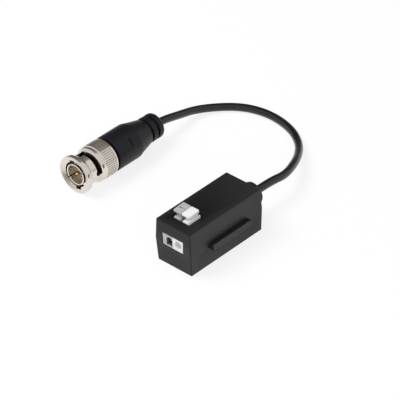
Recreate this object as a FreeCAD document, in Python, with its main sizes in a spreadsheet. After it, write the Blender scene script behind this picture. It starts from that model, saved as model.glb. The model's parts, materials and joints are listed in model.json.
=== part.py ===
"""Video balun with a push-button wire terminal and a short lead to a bayonet video plug.

The housing stands on its base on the plane z = 0, with the origin at the centre of the base,
the wire terminal facing -Y and the lead leaving at +Y. The plug lies on the same plane to the
left, on an axis parallel to Y. Lengths are millimetres and angles are degrees.

Plug pieces are drawn in the plug's own frame: the y axis is the plug's axis, y = 0 is the
front plane of the coupling nut, and the whole frame is then moved to the plug's place.
"""
import FreeCAD, Part
import math
import os
import re
import Sketcher
from FreeCAD import Placement, Rotation, Vector

SIZES = {
    # housing: two shells that meet at a parting line at mid-height, where the walls are widest
    "housing_width": 15.75,
    "housing_length": 35.2,
    "housing_height": 17.3,
    "parting_height": 9.4,
    "side_bulge": 0.38,
    "shell_wall": 1.2,
    "edge_round": 0.35,
    "running_gap": 0.1,
    # dovetail rail on the right side and its groove on the left side
    "rail_start": 9.1,
    "rail_length": 19.1,
    "rail_depth": 2.1,
    "rail_head": 2.6,
    "rail_root": 1.6,
    "rail_centre": 7.9,
    "groove_play": 0.1,
    "groove_wall": 0.6,
    # seam tongues inside the long walls
    "tongue_length": 7.0,
    "tongue_thickness": 0.7,
    "tongue_rise": 1.2,
    "tongue_offset": 7.5,
    # circuit board on four posts
    "board_underside": 4.0,
    "board_thickness": 1.2,
    "board_clearance": 0.35,
    "post_size": 1.8,
    # windows of the terminal in the front wall and in the roof
    "window_width": 9.7,
    "window_height": 5.0,
    "window_bottom": 7.9,
    "window_centre": -0.2,
    "roof_window_left": -4.5,
    "roof_window_right": 3.7,
    "roof_window_front": 4.05,
    "roof_window_back": 10.3,
    # terminal: two poles side by side, each with a wire hole, a chamber and a push button
    "pole_split": -0.3,
    "terminal_proud": 0.15,
    "terminal_depth": 11.6,
    "terminal_top": 13.3,
    "terminal_chamber_floor": 6.7,
    "grey_stem_left": -3.2,
    "white_stem_left": 0.85,
    "stem_width": 2.2,
    "stem_depth": 4.1,
    "stem_front": 5.35,
    "ledge_side": 0.35,
    "ledge_depth": 1.0,
    "ledge_rise": 0.4,
    "wire_hole_width": 2.4,
    "wire_hole_height": 2.3,
    "wire_hole_centre": 10.6,
    "grey_hole_centre": -1.75,
    "white_hole_centre": 2.25,
    "white_recess_radius": 1.5,
    "white_recess_depth": 1.3,
    "white_hole_radius": 0.6,
    "entry_plate": 0.8,
    "entry_space": 0.9,
    "guard_rise": 1.2,
    "guard_back": 9.9,
    # push buttons
    "head_width": 3.7,
    "head_length": 5.2,
    "head_front": 4.9,
    "head_thickness": 1.1,
    "head_top": 2.85,
    "head_slope": 0.35,
    "grey_head_left": -4.4,
    "white_head_left": -0.6,
    "stem_foot": 12.0,
    "mark_inset": 2.15,
    "mark_width": 0.6,
    "mark_depth": 0.5,
    # clamp springs and contact bars
    "strip_width": 1.8,
    "spring_strip": 0.25,
    "bar_thickness": 0.3,
    "solder_pin": 0.7,
    "solder_tail": 1.0,
    # parts on the board
    "core_outer": 4.0,
    "core_inner": 2.0,
    "core_height": 3.2,
    "core_lift": 0.4,
    "core_place_x": 0.9,
    "core_gap": 0.9,
    "turn_wire": 0.35,
    "turn_slack": 0.05,
    "turns": 7,
    "turn_angle": 22.0,
    "arrester_radius": 2.2,
    "arrester_cap": 2.35,
    "arrester_length": 5.0,
    "arrester_cap_length": 0.8,
    "chip_length": 2.0,
    "chip_width": 1.25,
    "chip_height": 0.8,
    "chip_left": -4.9,
    "chip_start": 8.0,
    "chip_spacing": 2.6,
    # strain relief in the rear wall, held between the shells
    "gland_radius": 4.4,
    "gland_neck": 3.2,
    "gland_flange": 4.1,
    "gland_reach": 5.3,
    "gland_flange_thickness": 1.0,
    # lead
    "lead_radius": 1.5,
    "lead_first_run": 8.5,
    "lead_last_run": 6.0,
    "core_wire_radius": 0.75,
    "screen_wire_radius": 0.5,
    # plug: place of its axis and of its front plane
    "plug_x": -57.17,
    "plug_front": -8.4,
    # coupling nut
    "nut_rim": 7.3,
    "nut_rim_land": 1.5,
    "nut_flare_end": 3.5,
    "rim_round": 0.45,
    "nut_neck": 5.9,
    "nut_neck_end": 7.3,
    "nut_band": 6.85,
    "nut_band_end": 9.0,
    "nut_groove": 6.5,
    "nut_knurl_start": 9.7,
    "nut_knurl": 6.95,
    "nut_knurl_end": 14.6,
    "nut_length": 15.4,
    "nut_bore": 4.95,
    "nut_mouth": 6.8,
    "nut_mouth_depth": 0.7,
    "nut_chamber": 5.95,
    "nut_chamber_start": 10.9,
    "knurl_count": 54,
    "knurl_depth": 0.22,
    "knurl_width": 0.42,
    "nut_travel": 0.8,
    # bayonet: entry channels, cam slots and locking holes, two of each
    "entry_angle": 103.0,
    "entry_width": 2.5,
    "entry_radius": 5.6,
    "entry_window": 3.5,
    "entry_end": 6.9,
    "cam_start": 5.95,
    "cam_rise": 1.2,
    "cam_sweep": 94.0,
    "cam_width": 2.4,
    "lock_sweep": 100.0,
    "lock_station": 5.95,
    "lock_radius": 1.2,
    # plug shell: slotted outer contact, flange and crimp stem
    "contact_outer": 4.2,
    "contact_inner": 3.6,
    "contact_front": 0.4,
    "contact_slot_length": 5.0,
    "contact_slot_width": 0.4,
    "contact_slot_angle": 40.0,
    "flange_radius": 5.75,
    "flange_start": 11.0,
    "flange_end": 12.3,
    "barrel_radius": 4.5,
    "barrel_end": 17.0,
    "stem_radius": 1.9,
    "stem_bore": 1.2,
    "stem_end": 25.0,
    "pin_radius": 0.67,
    "pin_front": 0.9,
    "insulator_front": 5.4,
    "insulator_end": 14.4,
    "gasket_outer": 4.8,
    "gasket_length": 0.8,
    "part_slack": 0.05,
    # spring washer, thrust washer and snap ring behind the flange
    "washer_inner": 4.65,
    "washer_outer": 5.75,
    "wave_length": 1.2,
    "thrust_length": 0.5,
    "ring_outer": 6.25,
    "ring_length": 0.45,
    # boot and crimp ferrule
    "boot_front": 16.4,
    "boot_radius": 6.85,
    "boot_taper_length": 7.3,
    "boot_tail": 4.85,
    "boot_tail_length": 6.5,
    "boot_groove": 4.25,
    "boot_groove_length": 1.1,
    "boot_ring_length": 1.9,
    "boot_length": 41.5,
    "boot_end_round": 1.3,
    "ferrule_outer": 2.9,
    "ferrule_start": 17.3,
    "grip_depth": 0.45,
    "grip_start": 17.6,
    "grip_end": 23.7,
    "grip_angle": 40.0,
}

document = FreeCAD.newDocument("video_balun")
sheet = document.addObject("Spreadsheet::Sheet", "Sizes")
for row, (alias, number) in enumerate(SIZES.items(), start=1):
    sheet.set(f"A{row}", alias)
    sheet.set(f"B{row}", str(number))
    sheet.setAlias(f"B{row}", alias)
document.recompute()

PLANES = {"front": "XZ_Plane", "top": "XY_Plane", "side": "YZ_Plane"}


def bound(formula):
    """Return the formula with every size name pointing at its cell of the sheet."""
    return re.sub(r"[a-z][a-z_]*", lambda word: "Sizes." + word[0] if word[0] in SIZES else word[0], formula)


def value(formula):
    """Return the number that a formula of sizes gives now."""
    number = sheet.evalExpression(re.sub(r"\bSizes\.", "", bound(formula)))
    return float(getattr(number, "Value", number))


def tie(item, **formulas):
    """Bind properties of an object to formulas; a double underscore stands for a dot."""
    for name, formula in formulas.items():
        item.setExpression(name.replace("__", "."), bound(formula))


def move(item, x="0", y="0", z="0", turn=None):
    """Place an object at x, y, z, turned about the y axis by the angle turn where it is given."""
    if turn is not None:
        item.Placement = Placement(Vector(), Rotation(Vector(0, 1, 0), 90))
        tie(item, Placement__Rotation__Angle=turn)
    tie(item, Placement__Base__x=x, Placement__Base__y=y, Placement__Base__z=z)
    return item


def origin_plane(body, role):
    """Return the origin plane or axis of a body that has the given role."""
    return next(item for item in body.Origin.OriginFeatures if item.Role == role)


def outline(body, plane, corners, shift="0"):
    """Draw a closed polygon in a body; each corner is a pair of formulas tied to the sheet."""
    sketch = body.newObject("Sketcher::SketchObject", "Outline")
    sketch.AttachmentSupport = [(origin_plane(body, PLANES[plane]), "")]
    sketch.MapMode = "FlatFace"
    tie(sketch, AttachmentOffset__Base__z=shift)
    spots = [Vector(value(across), value(up), 0) for across, up in corners]
    for start, end in zip(spots, spots[1:] + spots[:1]):
        sketch.addGeometry(Part.LineSegment(start, end), False)
    count = len(corners)
    for line in range(count):
        sketch.addConstraint(Sketcher.Constraint("Coincident", line, 2, (line + 1) % count, 1))
    for line, (across, up) in enumerate(corners):
        for kind, formula in (("DistanceX", across), ("DistanceY", up)):
            name = f"{kind}_{line}"
            index = sketch.addConstraint(Sketcher.Constraint(kind, -1, 1, line, 1, value(formula)))
            sketch.renameConstraint(index, name)
            sketch.setExpression("Constraints." + name, bound(formula))
    return sketch


def rectangle(left, right, low, high):
    """Return the corners of an upright rectangle between four formulas."""
    return [(left, low), (right, low), (right, high), (left, high)]


def pad(body, plane, corners, length, shift="0", taper=None, reverse=False):
    """Add a prism to a body; its outline lies in the named plane, moved along its normal."""
    feature = body.newObject("PartDesign::Pad", "Pad")
    feature.Profile = outline(body, plane, corners, shift)
    feature.Reversed = reverse
    tie(feature, Length=length)
    if taper:
        tie(feature, TaperAngle=taper)
    return feature


def pocket(body, plane, corners, length, shift="0", taper=None, reverse=False, both=False):
    """Cut a prism out of a body; both makes it run half its length to each side."""
    feature = body.newObject("PartDesign::Pocket", "Pocket")
    feature.Profile = outline(body, plane, corners, shift)
    feature.Reversed = reverse
    feature.Midplane = both
    tie(feature, Length=length)
    if taper:
        tie(feature, TaperAngle=taper)
    return feature


def new_body(name):
    """Start an empty body with the given name."""
    return document.addObject("PartDesign::Body", name)


def turned(name, corners):
    """Make a body of revolution about the y axis from (radius, station) corners."""
    body = new_body(name)
    spin = body.newObject("PartDesign::Revolution", "Turning")
    spin.Profile = outline(body, "top", corners)
    spin.ReferenceAxis = (spin.Profile[0], ["V_Axis"])
    spin.Angle = 360
    return body


def bar(name, left, right, front, back, low, high):
    """Make a box between six formulas, along x, y and z."""
    box = document.addObject("Part::Box", name)
    tie(box, Length=f"({right}) - ({left})", Width=f"({back}) - ({front})", Height=f"({high}) - ({low})")
    return move(box, left, front, low)


def rod(name, radius, length, x="0", y="0", z="0", axis=Vector(0, 0, 1)):
    """Make a cylinder of the given radius and length that starts at x, y, z along an axis."""
    cylinder = document.addObject("Part::Cylinder", name)
    cylinder.Placement = Placement(Vector(), Rotation(Vector(0, 0, 1), axis))
    tie(cylinder, Radius=radius, Height=length)
    tie(cylinder, Placement__Base__x=x, Placement__Base__y=y, Placement__Base__z=z)
    return cylinder


def joined(name, pieces):
    """Fuse several solids into one."""
    fusion = document.addObject("Part::MultiFuse", name)
    fusion.Shapes = pieces
    return fusion


def cut(name, base, tool):
    """Subtract one solid from another."""
    result = document.addObject("Part::Cut", name)
    result.Base = base
    result.Tool = tool
    return result


def at_plug(item):
    """Move a piece drawn in the plug's frame to the plug's place, resting on the rim of its nut."""
    return move(item, "plug_x", "plug_front", "nut_rim")


def round_edges(body, chosen, radius):
    """Round the edges of a body that the test picks, with a radius tied to the sheet."""
    document.recompute()
    base = body.Tip
    names = [f"Edge{i}" for i, edge in enumerate(base.Shape.Edges, start=1) if chosen(edge)]
    fillet = body.newObject("PartDesign::Fillet", "Rounding")
    fillet.Base = (base, names)
    tie(fillet, Radius=radius)
    return fillet


def rises(edge):
    """Tell whether an edge runs mostly upwards."""
    ends = [vertex.Point for vertex in edge.Vertexes]
    return len(ends) == 2 and abs(ends[0].z - ends[1].z) > 0.9 * edge.Length > 1


HALF_WIDTH = "housing_width / 2"
HALF_LENGTH = "housing_length / 2"
FRONT = "-housing_length / 2"
LOWER_DRAFT = "atan(side_bulge / parting_height)"
UPPER_DRAFT = "atan(side_bulge / (housing_height - parting_height))"
ROOF_UNDERSIDE = "housing_height - shell_wall"
BOARD_TOP = "board_underside + board_thickness"
WINDOW = ("window_centre - window_width / 2", "window_centre + window_width / 2")
CORE_PLACE = f"({FRONT} + terminal_depth + core_gap + core_outer)"
ARRESTER_PLACE = f"({CORE_PLACE} + core_outer + core_gap + arrester_cap)"
RAIL_FRONT = "(-housing_length / 2 + rail_start)"


def footprint(inset="0"):
    """Return the corners of the housing's plan, drawn in by an inset."""
    across = f"({HALF_WIDTH} - ({inset}))"
    along = f"({HALF_LENGTH} - ({inset}))"
    return rectangle("-" + across, across, "-" + along, along)


def dovetail(root, tip, play):
    """Return the corners of the rail's section, from its root at one x to its tip at another."""
    low, high = (f"rail_centre {sign} ({{}} / 2 + {play})" for sign in "-+")
    return [(root, low.format("rail_root")), (tip, low.format("rail_head")),
            (tip, high.format("rail_head")), (root, high.format("rail_root"))]


def tongue(side):
    """Return the corners of a seam tongue's section, on the side given by its sign."""
    outer = f"({HALF_WIDTH} - shell_wall + side_bulge / 2)"
    root = f"({HALF_WIDTH} - shell_wall / 2)"
    low, seam, high = "parting_height - tongue_rise", "parting_height", "parting_height + tongue_rise"
    return [(f"{side}({outer} - tongue_thickness)", low), (side + root, low),
            (side + root, f"{seam} - part_slack"), (side + outer, f"{seam} - part_slack"), (side + outer, high),
            (f"{side}({outer} - tongue_thickness)", high)]


def lower_shell():
    """Lower half of the housing, with the rail, the groove, the board posts and the tongues."""
    body = new_body("LowerShell")
    pad(body, "top", footprint(), "parting_height", taper=LOWER_DRAFT)
    round_edges(body, lambda edge: rises(edge) or edge.BoundBox.ZMax < 0.01, "edge_round")
    pocket(body, "top", footprint("shell_wall"), "parting_height - shell_wall", shift="shell_wall",
           taper=LOWER_DRAFT, reverse=True)
    inner = f"{HALF_WIDTH} - rail_depth - groove_play - groove_wall"
    pad(body, "front", rectangle(f"-({HALF_WIDTH} - shell_wall / 2)", f"-({inner})",
                                 "rail_centre - rail_head / 2 - groove_play - groove_wall", "parting_height"),
        "housing_length - rail_start - shell_wall / 2 + groove_play + groove_wall",
        shift=f"-({HALF_LENGTH} - shell_wall / 2)")
    for side in ("-", ""):
        for place in ("-tongue_offset", "tongue_offset"):
            pad(body, "front", tongue(side), "tongue_length", shift=f"-({place} + tongue_length / 2)")
        for end in ("-", ""):
            across = f"{side}({HALF_WIDTH} - shell_wall - board_clearance - post_size / 2)"
            along = f"{end}({HALF_LENGTH} - shell_wall - board_clearance - post_size / 2)"
            pad(body, "top", rectangle(f"{across} - post_size / 2", f"{across} + post_size / 2",
                                       f"{along} - post_size / 2", f"{along} + post_size / 2"),
                "board_underside - shell_wall / 2", shift="shell_wall / 2")
    pocket(body, "front", dovetail(f"-({HALF_WIDTH} + side_bulge)", f"-({HALF_WIDTH} - rail_depth - groove_play)",
                                   "groove_play"),
           "housing_length - rail_start + groove_play + 2 * side_bulge",
           shift=f"-({HALF_LENGTH} + 2 * side_bulge)", reverse=True)
    pad(body, "front", dovetail(f"{HALF_WIDTH} - shell_wall / 2", f"{HALF_WIDTH} + rail_depth", "0"),
        "rail_length", shift=f"-({RAIL_FRONT} + rail_length)")
    pocket(body, "front", rectangle(*WINDOW, "window_bottom", "parting_height + side_bulge"),
           "shell_wall + 2 * side_bulge", shift=f"{HALF_LENGTH} + side_bulge")
    gland_notch(body)
    return body


def gland_notch(body):
    """Cut the round notch for the strain relief's neck in the rear wall of a shell."""
    sketch = body.newObject("Sketcher::SketchObject", "Notch")
    sketch.AttachmentSupport = [(origin_plane(body, "XZ_Plane"), "")]
    sketch.MapMode = "FlatFace"
    tie(sketch, AttachmentOffset__Base__z=f"-({HALF_LENGTH} + 2 * side_bulge)")
    centre = Vector(0, value("parting_height"), 0)
    sketch.addGeometry(Part.Circle(centre, Vector(0, 0, 1), value("gland_neck + running_gap")), False)
    for kind, numbers in (("DistanceX", (-1, 1, 0, 3, 0)), ("DistanceY", (-1, 1, 0, 3, centre.y))):
        sketch.addConstraint(Sketcher.Constraint(kind, *numbers))
    sketch.addConstraint(Sketcher.Constraint("Radius", 0, value("gland_neck + running_gap")))
    sketch.setExpression("Constraints[1]", bound("parting_height"))
    sketch.setExpression("Constraints[2]", bound("gland_neck + running_gap"))
    notch = body.newObject("PartDesign::Pocket", "GlandNotch")
    notch.Profile = sketch
    notch.Reversed = True
    tie(notch, Length="shell_wall + 3 * side_bulge")


def upper_shell():
    """Upper half of the housing: roof and walls, with the windows for the terminal."""
    body = new_body("UpperShell")
    height = "housing_height - parting_height"
    pad(body, "top", footprint(), height, shift="housing_height", taper=UPPER_DRAFT, reverse=True)
    round_edges(body, lambda edge: rises(edge) or edge.BoundBox.ZMin > value("housing_height") - 0.01,
                "edge_round")
    pocket(body, "top", footprint("shell_wall"), f"{height} - shell_wall + side_bulge",
           shift=ROOF_UNDERSIDE, taper=UPPER_DRAFT)
    pocket(body, "top", rectangle("roof_window_left", "roof_window_right", f"{FRONT} + roof_window_front",
                                  f"{FRONT} + roof_window_back"), "2 * shell_wall",
           shift="housing_height + side_bulge")
    pocket(body, "front", rectangle(*WINDOW, "parting_height - side_bulge", "window_bottom + window_height"),
           "shell_wall + 2 * side_bulge", shift=f"{HALF_LENGTH} + side_bulge")
    gland_notch(body)
    return body


def terminal_pole(name, left, right, stem_left, entry, guards=()):
    """One pole of the terminal: block, ledge, chamber for the stem, wire entry and pin slot."""
    face = f"{FRONT} + shell_wall + running_gap"
    stem_back = f"{FRONT} + stem_front + stem_depth"
    block = bar(name + "Block", left, right, face, f"{FRONT} + terminal_depth", BOARD_TOP, "terminal_top")
    nose = bar(name + "Nose", left, right, f"{FRONT} - terminal_proud", f"{face} + part_slack",
               "window_bottom + running_gap", "window_bottom + window_height - running_gap")
    ledge = bar(name + "Ledge", f"{stem_left} - ledge_side", f"{stem_left} + stem_width + ledge_side",
                f"{FRONT} + stem_front - running_gap - ledge_depth", f"{FRONT} + stem_front",
                "terminal_chamber_floor", "housing_height + ledge_rise")
    chamber = bar(name + "Chamber", f"{stem_left} - running_gap", f"{stem_left} + stem_width + running_gap",
                  f"{FRONT} + stem_front - running_gap", f"{stem_back} + running_gap",
                  "terminal_chamber_floor", "housing_height * 2")
    middle = f"({stem_left} + stem_width / 2)"
    slot = bar(name + "PinSlot", f"{middle} - solder_pin / 2 - part_slack",
               f"{middle} + solder_pin / 2 + part_slack",
               f"{stem_back} - solder_pin - part_slack", f"{stem_back} + part_slack",
               "0", "terminal_chamber_floor + part_slack")
    return cut(name, joined(name + "Form", [block, nose, ledge, *guards]), joined(name + "Hollows", [chamber, slot] + entry))


def grey_entry():
    """Wire entry of the grey pole: an upright opening with a round top."""
    start = f"{FRONT} - 2 * terminal_proud"
    length = "stem_front + 2 * terminal_proud"
    centre = "wire_hole_centre + wire_hole_height / 2 - wire_hole_width / 2"
    box = bar("GreyEntry", "grey_hole_centre - wire_hole_width / 2", "grey_hole_centre + wire_hole_width / 2",
              start, f"{start} + {length}", "wire_hole_centre - wire_hole_height / 2", centre)
    arch = rod("GreyArch", "wire_hole_width / 2", length, "grey_hole_centre", start, centre, Vector(0, 1, 0))
    space = bar("GreySpace", "grey_hole_centre - wire_hole_width / 2 - entry_space / 2",
                "grey_hole_centre + wire_hole_width / 2", f"{FRONT} + entry_plate", f"{FRONT} + stem_front",
                "wire_hole_centre - wire_hole_height / 2 - entry_space",
                "wire_hole_centre + wire_hole_height / 2 + entry_space")
    return [box, arch, space]


def white_entry():
    """Wire entry of the white pole: a round funnel and a narrower hole behind it."""
    start = f"{FRONT} - terminal_proud"
    funnel = document.addObject("Part::Cone", "WhiteFunnel")
    funnel.Placement = Placement(Vector(), Rotation(Vector(0, 0, 1), Vector(0, 1, 0)))
    tie(funnel, Radius1="white_recess_radius", Radius2="white_hole_radius", Height="white_recess_depth",
        Placement__Base__x="white_hole_centre", Placement__Base__y=start, Placement__Base__z="wire_hole_centre")
    hole = rod("WhiteHole", "white_hole_radius", "stem_front + terminal_proud", "white_hole_centre", start,
               "wire_hole_centre", Vector(0, 1, 0))
    return [funnel, hole]


def button_guard():
    """Low wall beside the white button, standing on the white pole's block."""
    return bar("ButtonGuard", "white_head_left + head_width + part_slack", "roof_window_right - part_slack",
               f"{FRONT} + stem_front - running_gap - ledge_depth", f"{FRONT} + guard_back",
               "terminal_top - part_slack", "housing_height + guard_rise")


def push_button(name, head_left, stem_left, marked):
    """A push button: a sloping head on a stem; a marked head has a tool slot across it."""
    body = new_body(name)
    top = "housing_height + head_top"
    front = f"{FRONT} + head_front"
    pad(body, "side", [(front, f"{top} - head_thickness"), (f"{front} + head_length", f"{top} - head_thickness"),
                       (f"{front} + head_length", top), (front, f"{top} - head_slope")],
        "head_width", shift=head_left)
    round_edges(body, lambda edge: edge.BoundBox.ZMin > value(f"{top} - head_slope") - 0.05, "part_slack * 5")
    pad(body, "top", rectangle(stem_left, f"{stem_left} + stem_width", f"{FRONT} + stem_front",
                               f"{FRONT} + stem_front + stem_depth"),
        f"{top} - head_thickness / 2 - stem_foot", shift="stem_foot")
    if marked:
        place = f"{front} + mark_inset"
        pocket(body, "top", rectangle(f"{head_left} + head_width / 5", f"{head_left} + head_width + part_slack",
                                      place, f"{place} + mark_width"), "2 * mark_depth",
               shift=f"{top} + mark_depth - head_slope / 2")
    return body


def clamp_spring(name, stem_left):
    """Leaf spring of a pole: a C of strip standing on the contact bar under the button's stem."""
    body = new_body(name)
    back = f"{FRONT} + stem_front + stem_depth - running_gap"
    tip = f"{FRONT} + stem_front + 2 * running_gap"
    low = "terminal_chamber_floor + bar_thickness"
    high = "stem_foot - running_gap"
    corners = [(tip, low), (back, low), (back, high), (tip, f"{high} - spring_strip"),
               (tip, f"{high} - 2 * spring_strip"), (f"{back} - spring_strip", f"{high} - spring_strip"),
               (f"{back} - spring_strip", f"{low} + spring_strip"), (tip, f"{low} + spring_strip")]
    pad(body, "side", corners, "strip_width", shift=f"{stem_left} + (stem_width - strip_width) / 2")
    return body


def contact_bar(name, stem_left):
    """Contact bar on the chamber's floor, with the solder pin that goes through the board."""
    middle = f"({stem_left} + stem_width / 2)"
    back = f"{FRONT} + stem_front + stem_depth"
    plate = bar(name + "Plate", f"{middle} - strip_width / 2", f"{middle} + strip_width / 2",
                f"{FRONT} + stem_front + running_gap", back, "terminal_chamber_floor",
                "terminal_chamber_floor + bar_thickness")
    pin = bar(name + "Pin", f"{middle} - solder_pin / 2", f"{middle} + solder_pin / 2",
              f"{back} - solder_pin", back, "board_underside - solder_tail",
              "terminal_chamber_floor + bar_thickness")
    return joined(name, [plate, pin])


def circuit_board():
    """Circuit board on the four posts, with holes for the solder pins."""
    inset = "shell_wall + board_clearance"
    plate = bar("BoardPlate", f"-({HALF_WIDTH} - ({inset}))", f"{HALF_WIDTH} - ({inset})",
                f"-({HALF_LENGTH} - ({inset}))", f"{HALF_LENGTH} - ({inset})", "board_underside", BOARD_TOP)
    back = f"{FRONT} + stem_front + stem_depth - solder_pin / 2"
    holes = [rod("PinHole", "solder_pin / 2 * sqrt(2) + part_slack", "2 * housing_height",
                 f"{left} + stem_width / 2", back, "0") for left in ("grey_stem_left", "white_stem_left")]
    return cut("Board", plate, joined("PinHoles", holes))


def choke_core():
    """Ferrite ring of the choke, lying on the lower side of its windings."""
    place = ("core_place_x", CORE_PLACE, f"{BOARD_TOP} + core_lift")
    return cut("Core", rod("CoreRing", "core_outer", "core_height", *place),
               rod("CoreHole", "core_inner", "core_height * 3", "core_place_x", CORE_PLACE, BOARD_TOP))


def choke_winding(name, first_angle):
    """One winding of the choke: square turns round the ring's section, spread over nearly half of it."""
    wire = value("turn_wire")
    slack = value("turn_slack")
    low = value(f"{BOARD_TOP} + core_lift") - slack - wire
    tall = value("core_height") + 2 * (slack + wire)
    inner = value("core_inner") - slack - wire
    wide = value("core_outer - core_inner") + 2 * (slack + wire)
    around = Part.makeBox(wide, wire, tall, Vector(inner, -wire / 2, low))
    space = Part.makeBox(wide - 2 * wire, 2 * wire, tall - 2 * wire, Vector(inner + wire, -wire, low + wire))
    turn = around.cut(space)
    centre = Vector(value("core_place_x"), value(CORE_PLACE), 0)
    copies = []
    for count in range(int(value("turns"))):
        copy = turn.copy()
        copy.Placement = Placement(centre, Rotation(Vector(0, 0, 1), first_angle + count * value("turn_angle")))
        copies.append(copy)
    winding = document.addObject("Part::Feature", name)
    winding.Shape = Part.makeCompound(copies)
    return winding


def surge_arrester():
    """Ceramic surge arrester with an end cap on each side, lying across the board."""
    half = "arrester_length / 2"
    cap = f"({half} - arrester_cap_length)"
    body = turned("Arrester", [("0", f"-{half}"), ("arrester_cap", f"-{half}"), ("arrester_cap", f"-{cap}"),
                               ("arrester_radius", f"-{cap}"), ("arrester_radius", cap),
                               ("arrester_cap", cap), ("arrester_cap", half), ("0", half)])
    body.Placement = Placement(Vector(), Rotation(Vector(0, 0, 1), 90))
    tie(body, Placement__Base__x="core_place_x", Placement__Base__y=ARRESTER_PLACE,
        Placement__Base__z=f"{BOARD_TOP} + arrester_cap")
    return body


def chip_parts():
    """Four chip capacitors soldered in a row beside the choke."""
    pieces = []
    for count in range(4):
        along = f"{FRONT} + terminal_depth + chip_start + {count} * chip_spacing"
        pieces.append(bar("Chip", "chip_left", "chip_left + chip_width", along, f"{along} + chip_length",
                          BOARD_TOP, f"{BOARD_TOP} + chip_height"))
    return joined("Chips", pieces)


def cable_gland():
    """Strain relief: collar outside the rear wall, neck in the notch and flange inside."""
    wall = f"({HALF_LENGTH} + side_bulge)"
    inside = f"({HALF_LENGTH} - shell_wall + running_gap)"
    end = f"({HALF_LENGTH} + gland_reach)"
    body = turned("Gland", [("0", f"{inside} - gland_flange_thickness"),
                            ("gland_flange", f"{inside} - gland_flange_thickness"), ("gland_flange", inside),
                            ("gland_neck", inside), ("gland_neck", f"{wall} + part_slack"),
                            ("gland_radius", f"{wall} + part_slack"), ("gland_radius", f"{end} - edge_round * 2"),
                            ("gland_radius - edge_round", f"{end} - edge_round / 2"),
                            ("gland_radius - edge_round * 2", end), ("0", end)])
    return move(body, z="parting_height")


def bent_tube(corners, radius):
    """Tube of straight runs joined by arcs as large as the two runs beside each corner allow."""
    path = []
    start = corners[0]
    for before, corner, after in zip(corners, corners[1:], corners[2:]):
        into = (corner - before).normalize()
        away = (after - corner).normalize()
        trim = 0.45 * min((corner - before).Length, (after - corner).Length)
        half_turn = into.getAngle(away) / 2
        middle = (away - into).normalize()
        bend = trim / math.tan(half_turn)
        print(f"bend radius {bend:.1f} mm")
        reach = bend / math.cos(half_turn) - bend
        path.append(Part.LineSegment(start, corner - into * trim).toShape())
        start = corner + away * trim
        path.append(Part.Arc(corner - into * trim, corner + middle * reach, start).toShape())
    path.append(Part.LineSegment(start, corners[-1]).toShape())
    way = Part.Wire(path)
    section = Part.Wire(Part.makeCircle(radius, corners[0], corners[1] - corners[0]))
    tube = way.makePipeShell([section], True, False)
    print(f"tube {way.Length:.1f} mm long, volume {tube.Volume:.1f}, "
          f"section times length {math.pi * radius ** 2 * way.Length:.1f}")
    return tube


def lead_jacket():
    """Free length of the lead, from the strain relief down to the ground and round to the boot."""
    gland_end = Vector(0, value(f"{HALF_LENGTH} + gland_reach"), value("parting_height"))
    boot_end = Vector(value("plug_x"), value("plug_front + boot_length"), value("nut_rim"))
    route = [gland_end, gland_end + Vector(0, value("lead_first_run"), 0)]
    route += [Vector(*point) for point in (
        (0.1, 38.6, 8.1), (-4.1, 48.2, 6.0), (-8.8, 55.6, 3.7), (-14.4, 62.2, 2.0), (-21.4, 67.1, 1.55),
        (-29.8, 69.6, 1.55), (-38.3, 69.8, 1.55), (-46.4, 67.3, 1.55), (-52.9, 62.0, 1.6),
        (-57.7, 54.2, 2.4), (-57.1, 46.9, 4.3))]
    route += [boot_end + Vector(0, value("lead_last_run"), 0), boot_end]
    jacket = document.addObject("Part::Feature", "Jacket")
    jacket.Shape = bent_tube(route, value("lead_radius"))
    return jacket


def inner_wire(name, across, radius, reach):
    """A wire of the lead inside the housing, from the strain relief down to the board."""
    inside = value(f"{HALF_LENGTH} - shell_wall + running_gap - gland_flange_thickness")
    start = Vector(value(across), inside, value("parting_height"))
    knee = start - Vector(0, value(reach), 0)
    foot = Vector(knee.x, knee.y - value("part_slack"), value(BOARD_TOP))
    wire = document.addObject("Part::Feature", name)
    wire.Shape = bent_tube([start, knee, foot], value(radius))
    return wire


def nut_blank():
    """Coupling nut before its bayonet slots: rim, neck, band, knurled grip and spring chamber."""
    drop = "(nut_rim - nut_neck)"
    flare = "(nut_flare_end - nut_rim_land)"
    body = turned("NutBlank", [
        ("nut_bore", "nut_mouth_depth"), ("nut_mouth", "0"), ("nut_rim - rim_round", "0"),
        ("nut_rim - rim_round * 0.3", "rim_round * 0.3"), ("nut_rim", "rim_round"), ("nut_rim", "nut_rim_land"),
        (f"nut_rim - {drop} * 0.14", f"nut_rim_land + {flare} * 0.35"),
        (f"nut_rim - {drop} * 0.5", f"nut_rim_land + {flare} * 0.65"),
        (f"nut_rim - {drop} * 0.86", f"nut_rim_land + {flare} * 0.83"), ("nut_neck", "nut_flare_end"),
        ("nut_neck", "nut_neck_end"), ("nut_band - edge_round", "nut_neck_end + edge_round"),
        ("nut_band", "nut_neck_end + 3 * edge_round"), ("nut_band", "nut_band_end"),
        ("nut_groove", "nut_band_end"), ("nut_groove", "nut_knurl_start - edge_round"),
        ("nut_knurl", "nut_knurl_start"), ("nut_knurl", "nut_length - edge_round"),
        ("nut_knurl - edge_round", "nut_length"), ("nut_chamber", "nut_length"),
        ("nut_chamber", "nut_chamber_start"), ("nut_bore", "nut_chamber_start")])
    valley = pocket(body, "front", [("nut_knurl - knurl_depth", "0"), ("nut_knurl + knurl_depth", "knurl_width"),
                                    ("nut_knurl + knurl_depth", "-knurl_width")],
                    "nut_knurl_end - nut_knurl_start", shift="-nut_knurl_end", reverse=True)
    knurl = body.newObject("PartDesign::PolarPattern", "Knurl")
    knurl.Originals = [valley]
    knurl.Axis = (origin_plane(body, "Y_Axis"), [""])
    knurl.Angle = 360
    tie(knurl, Occurrences="knurl_count")
    body.Tip = knurl
    return body


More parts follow.
